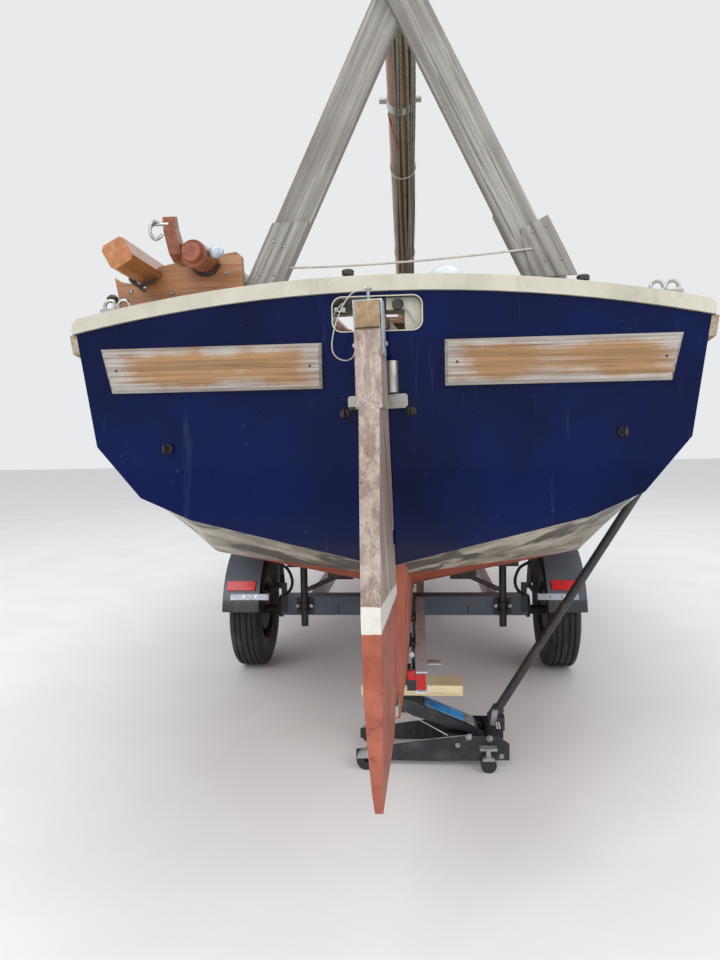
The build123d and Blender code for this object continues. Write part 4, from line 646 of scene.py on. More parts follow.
class CutterLooks(bpy.types.PropertyGroup):
    topside: shade("Topsides", "Gloss paint of the hull above its boot top", "#041342")
    topside_deep: shade("Topsides, deep", "The same paint where it looks darker", "#030b2c")
    chalk: shade("Chalking", "Faint marks and runs on the topsides", "#5a6684")
    boot_top: shade("Boot top", "Bare band under the topsides", "#bdb7a8")
    boot_dirt: shade("Boot top dirt", "Stain on that band", "#857c6c")
    slime: shade("Dried weed", "Dark patches on the band", "#35312c")
    antifouling: shade("Antifouling", "Bottom paint", "#8a4230")
    antifouling_pale: shade("Antifouling, faded", "Bottom paint where it has faded", "#a35a44")
    antifouling_scuff: shade("Antifouling, worn", "Undercoat that shows through", "#4a2d24")
    cream: shade("Deck edge", "Moulding, deck and cabin trunk", "#bcb8a9")
    band_white: shade("White band", "Band round the rudder", "#cbc8bf")
    rudder_wood: shade("Rudder", "Timber of the rudder", "#9f897c")
    rudder_grey: shade("Rudder, greyed", "Where its varnish is gone", "#b3a398")
    rudder_dark: shade("Rudder grain", "Dark grain of the rudder", "#4e3d34")
    board_varnish: shade("Board varnish", "Middle of the transom boards", "#a17a4e")
    board_grey: shade("Board, greyed", "Edges of the transom boards", "#b4b0aa")
    board_dark: shade("Board grain", "Dark grain of the boards", "#5a3f27")
    crutch_grey: shade("Crutch timber", "Bare timber of the mast crutch", "#8c8884")
    varnish: shade("Varnish", "Varnished trim", "#8a5a30")
    plywood: shade("Plywood", "Spar crutch board", "#a9744a")
    spar: shade("Spar", "Bowsprit", "#b5703a")
    red_spar: shade("Boom", "Boom and gaff", "#97502f")
    trailer_grey: shade("Axle beam", "Paint of the axle beam", "#4b5664")
    jack_black: shade("Jack", "Paint of the trolley jack", "#23262b")
    label_blue: shade("Label", "Blank label on the jack's arm", "#1a93e0")
    steel: shade("Stainless steel", "Bright fittings", "#b7b6b0")
    zinc: shade("Galvanised steel", "Trailer frame", "#c2c6c8")
    rope_grey: shade("Halyards", "Old rope along the mast", "#8f9084")
    rope_white: shade("Line", "Newer line", "#c9c6bb")
    halyard_thick: bpy.props.FloatProperty(name="Halyard", description="Radius of a halyard", unit="LENGTH",
                                           default=0.005, min=0.002, max=0.01)
    floor_size: bpy.props.FloatProperty(name="Floor", description="Width of the floor", unit="LENGTH",
                                        default=60.0, min=10, max=200)


def looks():
    return bpy.context.scene.cutter_looks


LEG_SIDE, LEG_UP = math.sin(LEG_LEAN), math.cos(LEG_LEAN)

# Fresh, greyed and dark colour, way of the grain, weather, sheen, relief, length of the grain, coat
TIMBERS = {
    "strake": ("#a08b6c", "#a79d8c", "#6a5a48", ALONG_Y, 0.5, 0.55),
    "tiller": ("#a98a63", "#a3927b", "#6c5236", ALONG_Y, 0.3, 0.45, 0.6),
    "leg_starboard": ("crutch_grey", "#a3a09b", "#4d4945", (-LEG_SIDE, 0, LEG_UP), 0.5, 0.6, 0.9, 1.2),
    "leg_port": ("crutch_grey", "#a3a09b", "#4d4945", (LEG_SIDE, 0, LEG_UP), 0.5, 0.6, 0.9, 1.2),
    "mast": ("#9a6232", "#80705c", "#3d2616", MAST_WAY, 0.15, 0.3, 0.3, 1.4, 0.2),
    "varnish": ("varnish", "#8d7a63", "#3d2616", ALONG_Y, 0.05, 0.22, 0.2, 0.9, 0.4),
    "varnish_x": ("varnish", "#8d7a63", "#3d2616", ALONG_X, 0.05, 0.22, 0.2, 0.9, 0.4),
    "varnish_z": ("varnish", "#8d7a63", "#3d2616", ALONG_Z, 0.05, 0.22, 0.2, 0.9, 0.4),
    "plywood": ("plywood", "#a58463", "#6c4527", ALONG_X, 0.1, 0.35, 0.25, 0.6, 0.2),
    "spar": ("spar", "#b09a86", "#6b4526", ALONG_Y, 0.1, 0.25, 0.25, 1.2, 0.4),
    "boom": ("red_spar", "#7d6552", "#3a1d12", ALONG_Y, 0.0, 0.2, 0.25, 1.2, 0.5),
    "pine": ("#efe2b8", "#ddd2ae", "#b9a272", ALONG_X, 0.1, 0.6, 0.4, 0.5),
}

# Colour and dirt, how much dirt and at what scale, roughness, metal, coat, grain and its scale
PAINTS = {
    "keel": ("antifouling_pale", "antifouling", 0.9, 7.0, 0.6, 0.0, 0.0, 0.3, 120),
    "cap": ("cream", "#8f8a78", 0.42, 5.0, 0.38, 0.0, 0.15, 0.06),
    "deck": ("#b9b6a9", "#8c887a", 0.5, 4.0, 0.6, 0.0, 0.0, 0.5, 500),
    "gelcoat": ("#cfcabb", "#8f8a78", 0.35, 4.0, 0.3, 0.0, 0.2, 0.05),
    "steel": ("steel", "#77736b", 0.5, 14.0, 0.24, 1.0, 0.0, 0.05),
    "zinc": ("zinc", "#6f6d68", 0.5, 11.0, 0.42, 0.3, 0.0, 0.1, 150),
    "brass": ("#9a7a3c", "#4c3f26", 0.6, 20.0, 0.32, 1.0),
    "beam": ("trailer_grey", "#6d6a62", 0.35, 5.0, 0.4, 0.0, 0.0, 0.08),
    "black_steel": ("#26282b", "#5d5a54", 0.35, 9.0, 0.42, 0.0, 0.0, 0.1),
    "iron": ("#b4c0ca", "#7d776b", 0.45, 18.0, 0.4, 0.35, 0.0, 0.15, 220),
    "rubber": ("#1c1c1e", "#7b7468", 0.25, 8.0, 0.62, 0.0, 0.0, 0.2),
    "tyre": ("#1b1b1d", "#6d675c", 0.3, 9.0, 0.66, 0.0, 0.0, 0.3, 260),
    # Painted light: the rails are paler and cooler than their grey galvanising, to offset the boat's shadow and
    # red bounce
    "rail": ("#e0ecf2", "#9aa3a6", 0.45, 11.0, 0.42, 0.2, 0.0, 0.1, 150),
    "cast": ("#2b2c2e", "#5b4a3a", 0.45, 16.0, 0.55, 0.3, 0.0, 0.4, 180),
    "jack": ("jack_black", "#5f5b55", 0.42, 12.0, 0.36, 0.0, 0.0, 0.1),
    "worn": ("#94969a", "#34363a", 0.75, 34.0, 0.4, 0.3, 0.0, 0.1),
    "label": ("label_blue", "#28455c", 0.5, 22.0, 0.4),
    "webbing": ("#1d1e20", "#7b7468", 0.3, 20.0, 0.8, 0.0, 0.0, 0.5, 900),
    "white_plastic": ("#d5d9e0", "#9c9a92", 0.3, 10.0, 0.3),
    # Black plastic, and also painted shade for the tiller's gap, the port tube's hollow, the beam slots and the
    # pull wells
    "black_plastic_and_shade": ("#17181a", "#7b7468", 0.25, 14.0, 0.35),
}

# Inner and outer colour, where they part, and along which axis; on the wheels the dark inner colour is painted
# shade
TWO_COLOURED_AND_SHADED = {
    # Painted shade: the wheel's inside, behind the tyre's wall, is drawn dark all over
    "wheel": ("#1f2022", "#9b9d9e", WHEEL_X + 0.012, "X"),
    "castor": ("#2b2c2e", "#a2a4a6", 0.043, "Z"),
}

# Colour, the dark of dirt and of the painted shade between the strands, and how many strands cross the line's
# length
ROPES = {
    "rope_grey": ("rope_grey", "#4c4a40", 160.0),
    "rope_white": ("rope_white", "#8d887b", 60.0),
    "rope_dark": ("#4a4640", "#1e1c1a", 60.0),
    "cord_red": ("#b54a30", "#6b2a1c", 60.0),
}

OTHERS = {
    "hull": hull_finish, "rudder": banded_timber, "boards": board_finish, "fittings": fittings_finish,
    "stays": stay_finish, "guard": guard_finish, "glass": glass_finish, "reflector": lens_finish,
}

MADE = {}


def make_finish(name):
    for build, rows in ((timber, TIMBERS), (painted, PAINTS), (parted, TWO_COLOURED_AND_SHADED), (rope, ROPES)):
        if name in rows:
            return build(name, *rows[name])
    return OTHERS[name](name)


def finish(name):
    """A finish by name, made on first use."""
    if name not in MADE:
        MADE[name] = make_finish(name)
    return MADE[name]


NODE_FINISHES = {
    "hull": "hull_shell",
    "keel": "long_keel",
    "cap": "deck_edge_cap",
    "deck": "deck",
    "gelcoat": "cockpit_well coachroof",
    "strake": "rubbing_strakes",
    "rudder": "rudder_blade",
    "boards": "name_boards",
    "tiller": "tiller",
    "leg_starboard": "crutch_leg_starboard",
    "leg_port": "crutch_leg_port crutch_feet",
    "mast": "mast",
    "varnish": "coamings handrails locker_lid_port locker_lid_starboard forehatch",
    "varnish_x": "companion_hatch",
    "varnish_z": "door_port door_starboard tabernacle samson_post",
    "plywood": "spar_crutches",
    "spar": "bowsprit",
    "boom": "boom gaff",
    "pine": "jack_plank",
    "steel": "fairleads",
    "fittings": "transom_fittings",
    "iron": "rudder_irons",
    "zinc": "mast_bands chainplates trailer_frame winch_post jockey_clamp jockey_stem",
    "brass": "portlight_frames",
    "beam": "axle_beam",
    "black_steel": "support_posts jack_handle",
    "stays": "mudguard_stays",
    "guard": "mudguards",
    "rubber": "rollers hull_pads jockey_wheel",
    "tyre": "tyre_port tyre_starboard",
    "wheel": "wheel_port wheel_starboard",
    "cast": "stub_axles coupling_head",
    "castor": "jack_castors",
    "rail": "keel_rails",
    "jack": "jack_frame jack_arm",
    "glass": "portlight_glass",
    "reflector": "reflectors",
}


class CUTTER_OT_finishes(bpy.types.Operator):
    """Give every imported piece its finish"""
    bl_idname = "cutter.finishes"
    bl_label = "Finishes"

    def execute(self, context):
        for name, nodes in NODE_FINISHES.items():
            for node in nodes.split():
                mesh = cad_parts[node].data
                mesh.materials.clear()
                mesh.materials.append(finish(name))
                for face in mesh.polygons:
                    face.material_index = 0
        return {"FINISHED"}


class CUTTER_OT_rudder_gear(bpy.types.Operator):
    """Bolts, pin and wire strop of the rudder head"""
    bl_idname = "cutter.rudder_gear"
    bl_label = "Rudder gear"

    def execute(self, context):
        for tag, side in SIDES:
            head = bolt(f"strap_bolt_{tag}", on_rudder(side * 0.0382, -0.155, 1.447), (side, 0, 0), 0.010)
            dress(head, "steel", "rudder")
        top = on_rudder(0, -0.155, 1.5582)
        stem = turned("strap_pin", [(0, 0.009), (0.06, 0.009), (0.09, 0.0042), (0.75, 0.0042), (0.8, 0.006),
                                    (0.95, 0.006), (1, 0)], top, top + Vector((0, 0, 0.036)), 20)
        wing = block("strap_pin_wing", (0.022, 0.003, 0.010), top + Vector((0, 0, 0.031)), (0, 0.25, 0), 0.0012)
        dress(joined("strap_pin", [stem, wing]), "steel", "rudder")
        # Painted shade: a thin black block draws the dark gap under the tiller as a line
        gap = block("tiller_gap_shade", (0.062, 0.0044, 0.0034), on_rudder(0, -0.2135, 1.4822), (0, -RUDDER_LEAN, 0),
                    0.0005)
        dress(gap, "black_plastic_and_shade", "rudder")
        route = [(0.000, -0.155, 1.585), (-0.022, -0.158, 1.590), (-0.051, -0.160, 1.577),
                 (-0.082, -0.170, 1.520), (-0.101, -0.175, 1.450), (-0.092, -0.172, 1.417),
                 (-0.060, -0.160, 1.406), (-0.039, -0.155, 1.425), (-0.040, -0.155, 1.447)]
        dress(line("wire_strop", [on_rudder(*p) for p in route], 0.0016), "rope_white", "rudder")
        return {"FINISHED"}


class CUTTER_OT_port_gear(bpy.types.Operator):
    """Panel, tube, block and cords inside the tiller's port"""
    bl_idname = "cutter.port_gear"
    bl_label = "Port gear"

    def execute(self, context):
        panel = plate("port_panel", [(0.010, 1.566), (0.062, 1.566), (0.062, 1.510), (0.120, 1.510),
                                     (0.120, 1.600), (0.010, 1.600)], 0.004, at(0, 0.026, 0), UPRIGHT, 0.0008)
        dress(panel, "cap")
        lathe("port_tube", "steel", [(0, 0.004), (0.02, 0.011), (1, 0.011), (1, 0)], (-0.137, 0.020, 1.571),
              (-0.105, 0.020, 1.568))
        # Painted shade: a black disc stands for the dark hollow inside the tube
        lathe("port_tube_hole_shade", "black_plastic_and_shade", [(0, 0), (0, 0.0045), (1, 0.0045), (1, 0)],
              (-0.121, 0.0104, 1.5695), (-0.121, 0.0080, 1.5695), 20)
        cord("port_tail", "rope_white", [(-0.110, 0.012, 1.588), (-0.133, 0.010, 1.570), (-0.139, 0.008, 1.552)],
             0.0022)
        lathe("port_block", "black_plastic_and_shade", sheave(0.014, 0.016, 0.012, 0.4, 0.45), (0.0433, 0.004, 1.578),
              (0.0433, 0.024, 1.578))
        cord("port_cord", "rope_white", [(0.050, 0.008, 1.572), (0.066, 0.012, 1.566), (0.078, 0.017, 1.548),
                                         (0.088, 0.020, 1.530)], 0.0022)
        return {"FINISHED"}


class CUTTER_OT_board_plugs(bpy.types.Operator):
    """Screws of the transom boards"""
    bl_idname = "cutter.board_plugs"
    bl_label = "Board screws"

    def execute(self, context):
        for side in (-1, 1):
            for x in (0.205, 0.765):
                screw = washer(f"board_screw_{side}_{x}".replace("-", "m"), at(side * x, -0.0215, BOARD_Z), AFT,
                               0.004, 0.0010)
                dress(screw, "black_steel")
        return {"FINISHED"}


class CUTTER_OT_crutch_gear(bpy.types.Operator):
    """Outboard cheek and screws of the mast crutch, and the line between its legs"""
    bl_idname = "cutter.crutch_gear"
    bl_label = "Crutch gear"

    def execute(self, context):
        corners = [(0.3976, 1.7986), (0.4760, 1.8371), (0.5278, 1.7328), (0.5593, 1.6641), (0.4368, 1.6604),
                   (0.4236, 1.6876)]
        cheek = plate("crutch_cheek", corners, 0.006, at(0, 0.1130, 0), UPRIGHT, 0.001)
        dress(cheek, "leg_starboard")
        screws = []
        for side, y, places in (
                ("starboard", 0.1100, ((0.431, 1.790), (0.470, 1.807), (0.468, 1.709), (0.513, 1.711))),
                ("port", 0.1274, ((-0.328, 1.799), (-0.296, 1.783), (-0.372, 1.703), (-0.330, 1.7025)))):
            for k, (x, z) in enumerate(places):
                screws.append(cup_screw(f"crutch_screw_{side}_{k}", at(x, y, z), AFT, 0.0055))
        for k, (x, z) in enumerate(((0.050, 2.600), (0.062, 2.540))):
            screws.append(bolt(f"crutch_bolt_{k}", at(x, 0.1160, z), AFT, 0.012))
        dress(joined("crutch_screws", screws), "steel")
        cord("crutch_line", "rope_white", [(-0.335, 0.135, 1.722), (-0.20, 0.134, 1.718), (0.05, 0.130, 1.722),
                                           (0.28, 0.118, 1.732), (0.430, 0.108, 1.742)], 0.0032)
        return {"FINISHED"}


class CUTTER_OT_halyards(bpy.types.Operator):
    """Halyards gathered along the lowered mast, and their ties"""
    bl_idname = "cutter.halyards"
    bl_label = "Halyards"

    def execute(self, context):
        way = Vector(MAST_WAY)
        side = Vector((1, 0, 0))
        down = side.cross(way).normalized()
        pivot = at(*MAST_PIVOT)
        radius = looks().halyard_thick
        count, start, long, steps = 7, 0.25, 4.7, 40
        crutch, gathered = 4.148, 0.3      # how far from the pivot, and over what length they draw together
        under = 64                         # degrees from starboard to the middle of their bundle

        def on_mast(s, a, r):
            """A point s along the mast, turned by a from starboard to its underside, and r from its middle."""
            return pivot + way * s + side * (r * math.cos(a)) + down * (r * math.sin(a))

        for k in range(count):
            points = []
            for j in range(steps):
                s = start + long * j / (steps - 1)
                near = math.exp(-((s - crutch) / gathered) ** 2)
                a = math.radians(under + 24 * near + (k - count // 2) * (16.5 - 7.5 * near))
                a += 0.10 * (1 - near) * math.sin(2.1 * s + 1.7 * k)
                r = MAST_RADIUS * mast_taper(s) + radius * (1.05 + 0.5 * (k % 2))
                r += 0.004 * (1 - near) * abs(math.sin(3.3 * s + k))
                points.append(on_mast(s, a, r))
            dress(line(f"halyard_{k}", points, radius), "rope_grey", "mast_spar")
        for k, s in enumerate((0.9, 1.9, 2.8, 4.55)):
            ring = []
            for q in range(24):
                a = math.radians(15 * q)
                over = max(0.0, math.cos(a - math.radians(under))) ** 0.5
                r = MAST_RADIUS * mast_taper(s) + 0.0025 + 0.0165 * over
                ring.append(on_mast(s + 0.002 * (q % 2), a, r))
            dress(line(f"mast_tie_{k}", ring, 0.0025, closed=True), "rope_white", "mast_spar")
        route = ((3.206, 165, 0.0545), (3.17, 138, 0.056), (3.12, 118, 0.066), (3.04, 96, 0.072))
        red = line("mast_red_cord", [on_mast(s, math.radians(a), r) for s, a, r in route], 0.0022)
        dress(red, "cord_red", "mast_spar")
        return {"FINISHED"}


class CUTTER_OT_spar_gear(bpy.types.Operator):
    """Lashing, pad, screws and shackle of the stowed spars"""
    bl_idname = "cutter.spar_gear"
    bl_label = "Spar gear"

    def execute(self, context):
        cord("sprit_lashing", "rope_dark", [
            (-0.668, 0.062, 1.688), (-0.690, 0.050, 1.672), (-0.716, 0.058, 1.661), (-0.738, 0.050, 1.680),
            (-0.752, 0.060, 1.704), (-0.744, 0.048, 1.694), (-0.730, 0.062, 1.672), (-0.706, 0.044, 1.664),
            (-0.692, 0.066, 1.676), (-0.712, 0.054, 1.662), (-0.734, 0.042, 1.672), (-0.748, 0.052, 1.692),
            (-0.736, 0.066, 1.684), (-0.716, 0.050, 1.658), (-0.700, 0.058, 1.650)], 0.0042)
        x, z, r = -0.5264, 1.740, 0.0425    # the boom's middle at its notch, and the notch's radius
        arc = [math.radians(195 + 12.5 * q) for q in range(13)]
        cord("boom_pad", "rubber", [(x + r * math.cos(a), 0.0875, z + r * math.sin(a)) for a in arc], 0.0048)
        screws = []
        for k, (x, z) in enumerate(((-0.7593, 1.6585), (-0.6322, 1.6502), (-0.4654, 1.7032))):
            screws.append(cup_screw(f"board_cup_{k}", at(x, SPAR_BOARD_AFT, z), AFT, 0.0075))
        dress(joined("spar_board_screws", screws), "steel")
        ball = turned("boom_ball", [(0, 0.004), (0.05, 0.010), (0.25, 0.0165), (0.5, 0.018), (0.75, 0.0165),
                                    (0.95, 0.009), (1, 0)], at(-0.4735, 0.008, 1.724), at(-0.4735, 0.008, 1.760))
        pin = turned("boom_ball_pin", [(0, 0.005), (0.7, 0.005), (0.75, 0.009), (1, 0.008), (1, 0)],
                     at(-0.500, 0.008, 1.742), at(-0.450, 0.008, 1.742), 16)
        dress(joined("boom_ball", [ball, pin]), "iron")
        bow = [(-0.596, -0.078, 1.801), (-0.610, -0.088, 1.811), (-0.623, -0.092, 1.798), (-0.626, -0.093, 1.776),
               (-0.616, -0.093, 1.757), (-0.602, -0.090, 1.757), (-0.594, -0.082, 1.772)]
        shackle = line("boom_shackle", [at(*p) for p in bow], 0.0045, 12)
        pin = turned("boom_shackle_pin", [(0, 0.008), (0.15, 0.008), (0.16, 0.0045), (1, 0.0045), (1, 0)],
                     at(-0.630, -0.080, 1.800), at(-0.576, -0.080, 1.800), 16)
        dress(joined("boom_shackle", [shackle, pin]), "steel")
        return {"FINISHED"}


class CUTTER_OT_tyres(bpy.types.Operator):
    """Road tyres with their grooves"""
    bl_idname = "cutter.tyres"
    bl_label = "Tyres"

    def execute(self, context):
        r, w = TYRE_RADIUS, 0.082           # outer radius and half width
        floor = r - 0.007                   # of the grooves
        half = [(0.058, 0.1665), (0.070, 0.178), (0.079, 0.205), (w, 0.228), (0.080, 0.252), (0.072, r - 0.014),
                (0.064, r - 0.004), (0.060, r - 0.0015), (0.047, r), (0.0455, floor), (0.0405, floor), (0.039, r),
                (0.020, r), (0.0185, floor), (0.0135, floor), (0.012, r)]
        profile = half + [(-a, b) for a, b in half[::-1]] + half[:1]
        for name, side in SIDES:
            centre = at(side * WHEEL_X, *AXLE)
            piece = turned(f"road_tyre_{name}", [((a + w) / (2 * w), b) for a, b in profile],
                           centre - Vector((w, 0, 0)), centre + Vector((w, 0, 0)), 96)
            dress(piece, "tyre", f"wheel_{name}_body")
            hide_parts(f"tyre_{name}")
        return {"FINISHED"}


class CUTTER_OT_wheel_gear(bpy.types.Operator):
    """Wheel nuts, hub caps and valves"""
    bl_idname = "cutter.wheel_gear"
    bl_label = "Wheel gear"

    def execute(self, context):
        for name, side in SIDES:
            centre = at(side * WHEEL_X, *AXLE)
            out = Vector((side, 0, 0))
            body = f"wheel_{name}_body"
            cap = turned(f"hub_cap_{name}", [(0, 0.033), (0.55, 0.033), (0.8, 0.028), (1, 0.012), (1, 0)],
                         centre + out * 0.066, centre + out * 0.081, 28)
            dress(cap, "steel", body)
            low = centre + out * 0.030 - Vector((0, 0, 0.158))
            valve = turned(f"valve_{name}", [(0, 0.005), (0.6, 0.0045), (0.62, 0.0055), (0.95, 0.0055), (1, 0)],
                           low, low + out * 0.030 + Vector((0, 0, 0.020)), 16)
            dress(valve, "black_plastic_and_shade", body)
            nuts = []
            for k in range(4):
                a = math.pi / 4 + k * math.pi / 2
                place = centre + out * 0.0445 + Vector((0, 0.052 * math.cos(a), 0.052 * math.sin(a)))
                nuts.append(bolt(f"wheel_nut_{name}_{k}", place, out, 0.012))
            dress(joined(f"wheel_nuts_{name}", nuts), "steel", body)
        return {"FINISHED"}


class CUTTER_OT_trailer_gear(bpy.types.Operator):
    """Clamps, bolts, roller brackets and webbing of the trailer"""
    bl_idname = "cutter.trailer_gear"
    bl_label = "Trailer gear"

    def execute(self, context):
        y_face = 1.72                      # after face of the axle beam
        cos, sin = math.cos(STRIP_ANGLE), math.sin(STRIP_ANGLE)
        for tag, side in SIDES:
            x = side * 0.52
            bolts = []
            for dx in (-0.037, 0.037):
                bolts.append(bolt(f"clamp_bolt_{tag}_{dx > 0}", at(x + dx, y_face - 0.0273, 0.326), AFT, 0.0095))
            for gx in (0.718, 0.776):
                place = at(side * gx, AXLE[0] - STRIP_RADIUS * cos, AXLE[1] + STRIP_RADIUS * sin)
                bolts.append(bolt(f"guard_bolt_{tag}_{int(gx * 1000)}", place, (0, -cos, sin), 0.0085))
            dress(joined(f"trailer_bolts_{tag}", bolts), "steel")
            bend = ((-0.024, 0.020), (-0.024, 0.046), (0, 0.060), (0.024, 0.046), (0.024, 0.020))
            for z in (0.306, 0.346):
                cord(f"post_clamp_{tag}_{int(z * 1000)}", "black_steel",
                     [(x + dx, y_face - dy, z) for dx, dy in bend], 0.004)
            bar(f"guard_bracket_{tag}", "black_steel", (0.006, 0.052, 0.150), (side * 0.6655, 1.735, 0.492))
            strap = ((0.664, 1.715, 0.552), (0.630, 1.705, 0.540), (0.602, 1.700, 0.520), (0.580, 1.698, 0.462),
                     (0.590, 1.700, 0.415), (0.618, 1.708, 0.386), (0.640, 1.726, 0.374))
            cord(f"webbing_{tag}", "webbing", [(side * a, b, c) for a, b, c in strap], 0.0085)
            # Painted shade: a thin black strip draws the dark slot in the axle beam's face
            bar(f"beam_slot_{tag}", "black_plastic_and_shade", (0.008, 0.0012, 0.046),
                (side * 0.343, y_face - 0.0004, 0.302), ease=0.0004)
            for y in (0.600, 0.980, 1.400):
                bar(f"keel_guide_{tag}_{int(y * 1000)}", "black_steel", (0.0125, 0.044, 0.120),
                    (side * 0.0655, y, 0.372), ease=0.002)
        bar("rail_reflector", "reflector", (0.029, 0.004, 0.034), (0.0585, 0.494, 0.357))
        bar("rail_reflector_back", "black_steel", (0.033, 0.004, 0.080), (0.0585, 0.498, 0.340))
        lathe("keel_lamp", "white_plastic", [(0, 0.011), (0.5, 0.012), (0.9, 0.008), (1, 0)],
              (0.057, 0.578, 0.408), (0.057, 0.562, 0.408), 20)
        bar("rail_tab", "zinc", (0.052, 0.05, 0.005), (0.1405, 0.62, 0.3655))
        return {"FINISHED"}


class CUTTER_OT_deck_gear(bpy.types.Operator):
    """Vent, blocks and lamp on deck"""
    bl_idname = "cutter.deck_gear"
    bl_label = "Deck gear"

    def execute(self, context):
        lathe("deck_vent", "white_plastic", [(0, 0.062), (0.25, 0.066), (0.5, 0.062), (0.75, 0.048), (0.92, 0.026),
                                             (1, 0)], (0.185, 0.17, 1.628), (0.185, 0.17, 1.722), 40)
        for k, (x, z) in enumerate(((-0.104, 1.640), (0.572, 1.600))):
            lathe(f"deck_block_{k}", "black_plastic_and_shade", [(0, 0.017), (0.2, 0.017), (0.25, 0.013), (0.7, 0.013),
                                                       (0.75, 0.018), (0.95, 0.018), (1, 0.014), (1, 0)],
                  (x, 0.10, z), (x, 0.10, z + 0.060))
        lathe("quarter_lamp_base", "white_plastic", [(0, 0.024), (0.6, 0.026), (1, 0.018), (1, 0)],
              (-0.820, 0.10, 1.585), (-0.820, 0.10, 1.625))
        lathe("quarter_lamp", "black_plastic_and_shade", [(0, 0.010), (0.3, 0.017), (0.7, 0.017), (1, 0.008), (1, 0)],
              (-0.820, 0.10, 1.625), (-0.820, 0.10, 1.652))
        return {"FINISHED"}


class CUTTER_OT_jack_gear(bpy.types.Operator):
    """Bolts, label, link and springs of the trolley jack"""
    bl_idname = "cutter.jack_gear"
    bl_label = "Jack gear"

    def execute(self, context):
        jack_y = 0.64
        y = jack_y - 0.0985
        bolts = []
        for k, (x, z, size) in enumerate(((0.2622, 0.1148, 0.012), (0.3374, 0.1098, 0.012),
                                          (0.2221, 0.0833, 0.009), (0.3792, 0.0445, 0.009))):
            bolts.append(bolt(f"jack_bolt_{k}", at(x, y, z), AFT, size))
        dress(joined("jack_bolts", bolts), "steel")
        slope = math.atan2(0.116, 0.28)    # of the arm's top, falling to starboard
        for name, look, size, x, lift, ease in (
                ("jack_arm_wear", "worn", (0.200, 0.098, 0.0008), 0.196, 0.0002, 0.0002),
                ("jack_label", "label", (0.150, 0.078, 0.0012), 0.180, 0.0010, 0.0003)):
            bar(name, look, size, (x, jack_y, 0.186 - (x - 0.165) * math.tan(slope) + lift), (0, slope, 0), ease)
        edge = ((-0.005, 0.0894), (0.045, 0.0955), (0.095, 0.1015), (0.170, 0.1105), (0.250, 0.1205))
        cord("jack_edge_wear", "worn", [(x, y + 0.001, z) for x, z in edge], 0.0018, order=2)
        cord("jack_link", "steel", [(0.0311, 0.53, 0.2092), (0.1000, 0.53, 0.1722), (0.186, 0.53, 0.1245)], 0.002)
        bar("jack_socket_plate", "worn", (0.022, 0.003, 0.060), (0.3605, 0.6125, 0.160), (0, 0.12, 0), 0.0006)
        coils = [(0.05 + 0.1 * q, 0.0048 if q % 2 else 0.0034) for q in range(10)]
        for k in range(2):
            lathe(f"jack_spring_{k}", "steel", [(0, 0)] + coils + [(1, 0)], (0.372 + 0.009 * k, 0.607, 0.118),
                  (0.366 + 0.009 * k, 0.607, 0.150), 16)
        return {"FINISHED"}


class CUTTER_OT_hatch_gear(bpy.types.Operator):
    """Knobs, pulls and handles of the doors, hatches and locker lids"""
    bl_idname = "cutter.hatch_gear"
    bl_label = "Hatch gear"

    def execute(self, context):
        for name, side in SIDES:
            lathe(f"door_knob_{name}", "brass", [(0, 0.009), (0.15, 0.006), (0.5, 0.0055), (0.7, 0.011),
                                                 (0.9, 0.010), (1, 0)],
                  (side * 0.021, 2.3925, 1.585), (side * 0.021, 2.366, 1.585), 20, f"{name}_door")
            ring = washer(f"locker_pull_{name}", at(side * 0.315, 1.150, 1.2538), ALONG_Z, 0.020, 0.0022)
            dress(ring, "brass", f"{name}_locker")
            # Painted shade: a black disc inside the pull's ring stands for the dark well it sits in
            well = washer(f"locker_pull_well_{name}", at(side * 0.315, 1.150, 1.2556), ALONG_Z, 0.0135, 0.0010)
            dress(well, "black_plastic_and_shade", f"{name}_locker")
        bar("hatch_pull", "varnish_x", (0.240, 0.024, 0.018), (0, 2.402, 1.9395), ease=0.006, body="hatch_slide")
        route = ((-0.060, 1.783), (-0.058, 1.806), (-0.030, 1.812), (0.030, 1.812), (0.058, 1.806), (0.060, 1.783))
        grip = line("forehatch_grip", [at(x, 4.640, z) for x, z in route], 0.0048, 12)
        feet = [washer(f"forehatch_foot_{k}", at(x, 4.640, 1.7848), ALONG_Z, 0.012, 0.003)
                for k, x in enumerate((-0.060, 0.060))]
        dress(joined("forehatch_grip", [grip] + feet), "steel", "fore_lid")
        return {"FINISHED"}


class CUTTER_OT_mast_gear(bpy.types.Operator):
    """Blocks at the lowered mast's head"""
    bl_idname = "cutter.mast_gear"
    bl_label = "Mast gear"

    def execute(self, context):
        way = Vector(MAST_WAY).normalized()
        half = Vector((0.013, 0, 0))
        for k, (s, offset) in enumerate(((4.85, -0.058), (5.12, 0.052))):
            centre = at(*MAST_PIVOT) + way * s + Vector((offset, 0, 0))
            profile = sheave(0.020, 0.023, 0.017, 0.38, 0.42)
            cheeks = turned(f"mast_block_{k}", profile, centre - half, centre + half)
            dress(cheeks, "varnish", "mast_spar")
        return {"FINISHED"}


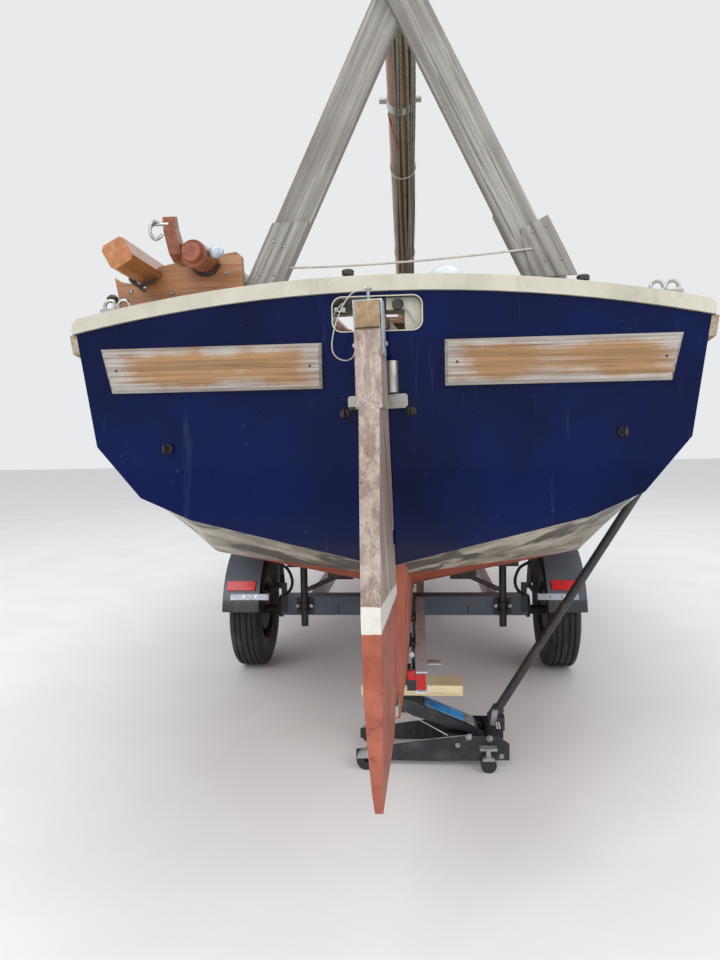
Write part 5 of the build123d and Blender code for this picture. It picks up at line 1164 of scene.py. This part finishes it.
class CUTTER_OT_stage(bpy.types.Operator):
    """Floor, lamps, world and camera"""
    bl_idname = "cutter.stage"
    bl_label = "Stage"

    def execute(self, context):
        scene = context.scene
        fresh()
        size = looks().floor_size
        bpy.ops.mesh.primitive_plane_add(size=size, location=(0, 0, 0))
        floor = settle(bpy.context.object, "floor")
        n, place = new_material("floor")
        speckle = n.patches(place, 2.0, 0.3, 0.7, 4, 0.5)
        floor.data.materials.append(n.surface(n.mix(speckle, tone("#e6e5e3"), tone("#eae9e7")), 0.9))

        world = bpy.data.worlds.new("studio")
        scene.world = world
        world.use_nodes = True
        w = Nodes(world.node_tree)
        base = world.node_tree.nodes["Background"]
        w.feed(base, "Color", tone("#e4e7ec"))
        w.feed(base, "Strength", 0.95)
        seen = w.add("Background", {"Color": tone("#e9eaec"), "Strength": 1.0})
        rays = w.add("LightPath").outputs
        pick = w.math("MAXIMUM", rays["Is Camera Ray"], w.times(rays["Is Glossy Ray"], 0.6))
        pick = w.math("MAXIMUM", pick, rays["Is Transmission Ray"])
        both = w.add("MixShader")
        for socket, value in enumerate((pick, base.outputs[0], seen.outputs[0])):
            w.feed(both, socket, value)
        w.feed(world.node_tree.nodes["World Output"], "Surface", both.outputs[0])

        lamps = (
            ("key", (-3.5, -5.5, 6.5), (0, 0, 1.2), 5.0, 280.0),
            ("fill", (5.5, -4.5, 4.5), (0, 0.5, 1.0), 5.0, 140.0),
            ("top", (0.5, 3.0, 8.0), (0, 3.0, 1.0), 6.0, 240.0),
            ("low", (0.3, -6.0, 0.9), (0, 1.5, 0.4), 4.0, 110.0),
        )
        for name, place, aim, width, power in lamps:
            lamp = bpy.data.lights.new(name, "AREA")
            lamp.size = width
            lamp.energy = power
            thing = bpy.data.objects.new(name, lamp)
            scene.collection.objects.link(thing)
            thing.location = at(*place)
            thing.visible_glossy = name != "low"
            thing.rotation_euler = (at(*aim) - at(*place)).to_track_quat("-Z", "Y").to_euler()

        yaw, pitch, roll = VIEW_TURN
        ahead = Vector((-math.sin(yaw) * math.cos(pitch), math.cos(yaw) * math.cos(pitch), -math.sin(pitch)))
        level = Vector((math.cos(yaw), math.sin(yaw), 0))
        above = level.cross(ahead)
        right = level * math.cos(roll) + above * math.sin(roll)
        up = above * math.cos(roll) - level * math.sin(roll)
        data = bpy.data.cameras.new("view")
        data.sensor_fit = "VERTICAL"
        data.sensor_height = SENSOR_HIGH
        data.lens = SENSOR_HIGH * VIEW_FOCUS
        data.clip_end = 200
        camera = bpy.data.objects.new("view", data)
        scene.collection.objects.link(camera)
        camera.matrix_world = Matrix.Translation(at(*VIEW_PLACE)) @ Matrix(
            (right, up, -ahead)).transposed().to_4x4()
        scene.camera = camera
        scene.view_settings.view_transform = "Standard"
        return {"FINISHED"}


STEPS = (
    CUTTER_OT_finishes, CUTTER_OT_rudder_gear, CUTTER_OT_port_gear, CUTTER_OT_board_plugs, CUTTER_OT_crutch_gear,
    CUTTER_OT_halyards, CUTTER_OT_spar_gear, CUTTER_OT_tyres, CUTTER_OT_wheel_gear, CUTTER_OT_trailer_gear,
    CUTTER_OT_deck_gear, CUTTER_OT_hatch_gear, CUTTER_OT_mast_gear, CUTTER_OT_jack_gear, CUTTER_OT_stage,
)


class CUTTER_PT_panel(bpy.types.Panel):
    bl_label = "Gaff cutter"
    bl_idname = "CUTTER_PT_panel"
    bl_space_type = "VIEW_3D"
    bl_region_type = "UI"
    bl_category = "Cutter"

    def draw(self, context):
        for step in STEPS:
            self.layout.operator(step.bl_idname)
        for key in CutterLooks.__annotations__:
            self.layout.prop(context.scene.cutter_looks, key)


CLASSES = (CutterLooks, *STEPS, CUTTER_PT_panel)


def register():
    for c in CLASSES:
        bpy.utils.register_class(c)
    bpy.types.Scene.cutter_looks = bpy.props.PointerProperty(type=CutterLooks)


def unregister():
    del bpy.types.Scene.cutter_looks
    for c in reversed(CLASSES):
        bpy.utils.unregister_class(c)


def main():
    register()
    for step in STEPS:
        group, name = step.bl_idname.split(".")
        getattr(getattr(bpy.ops, group), name)()
    fresh()


if __name__ == "__main__":
    main()
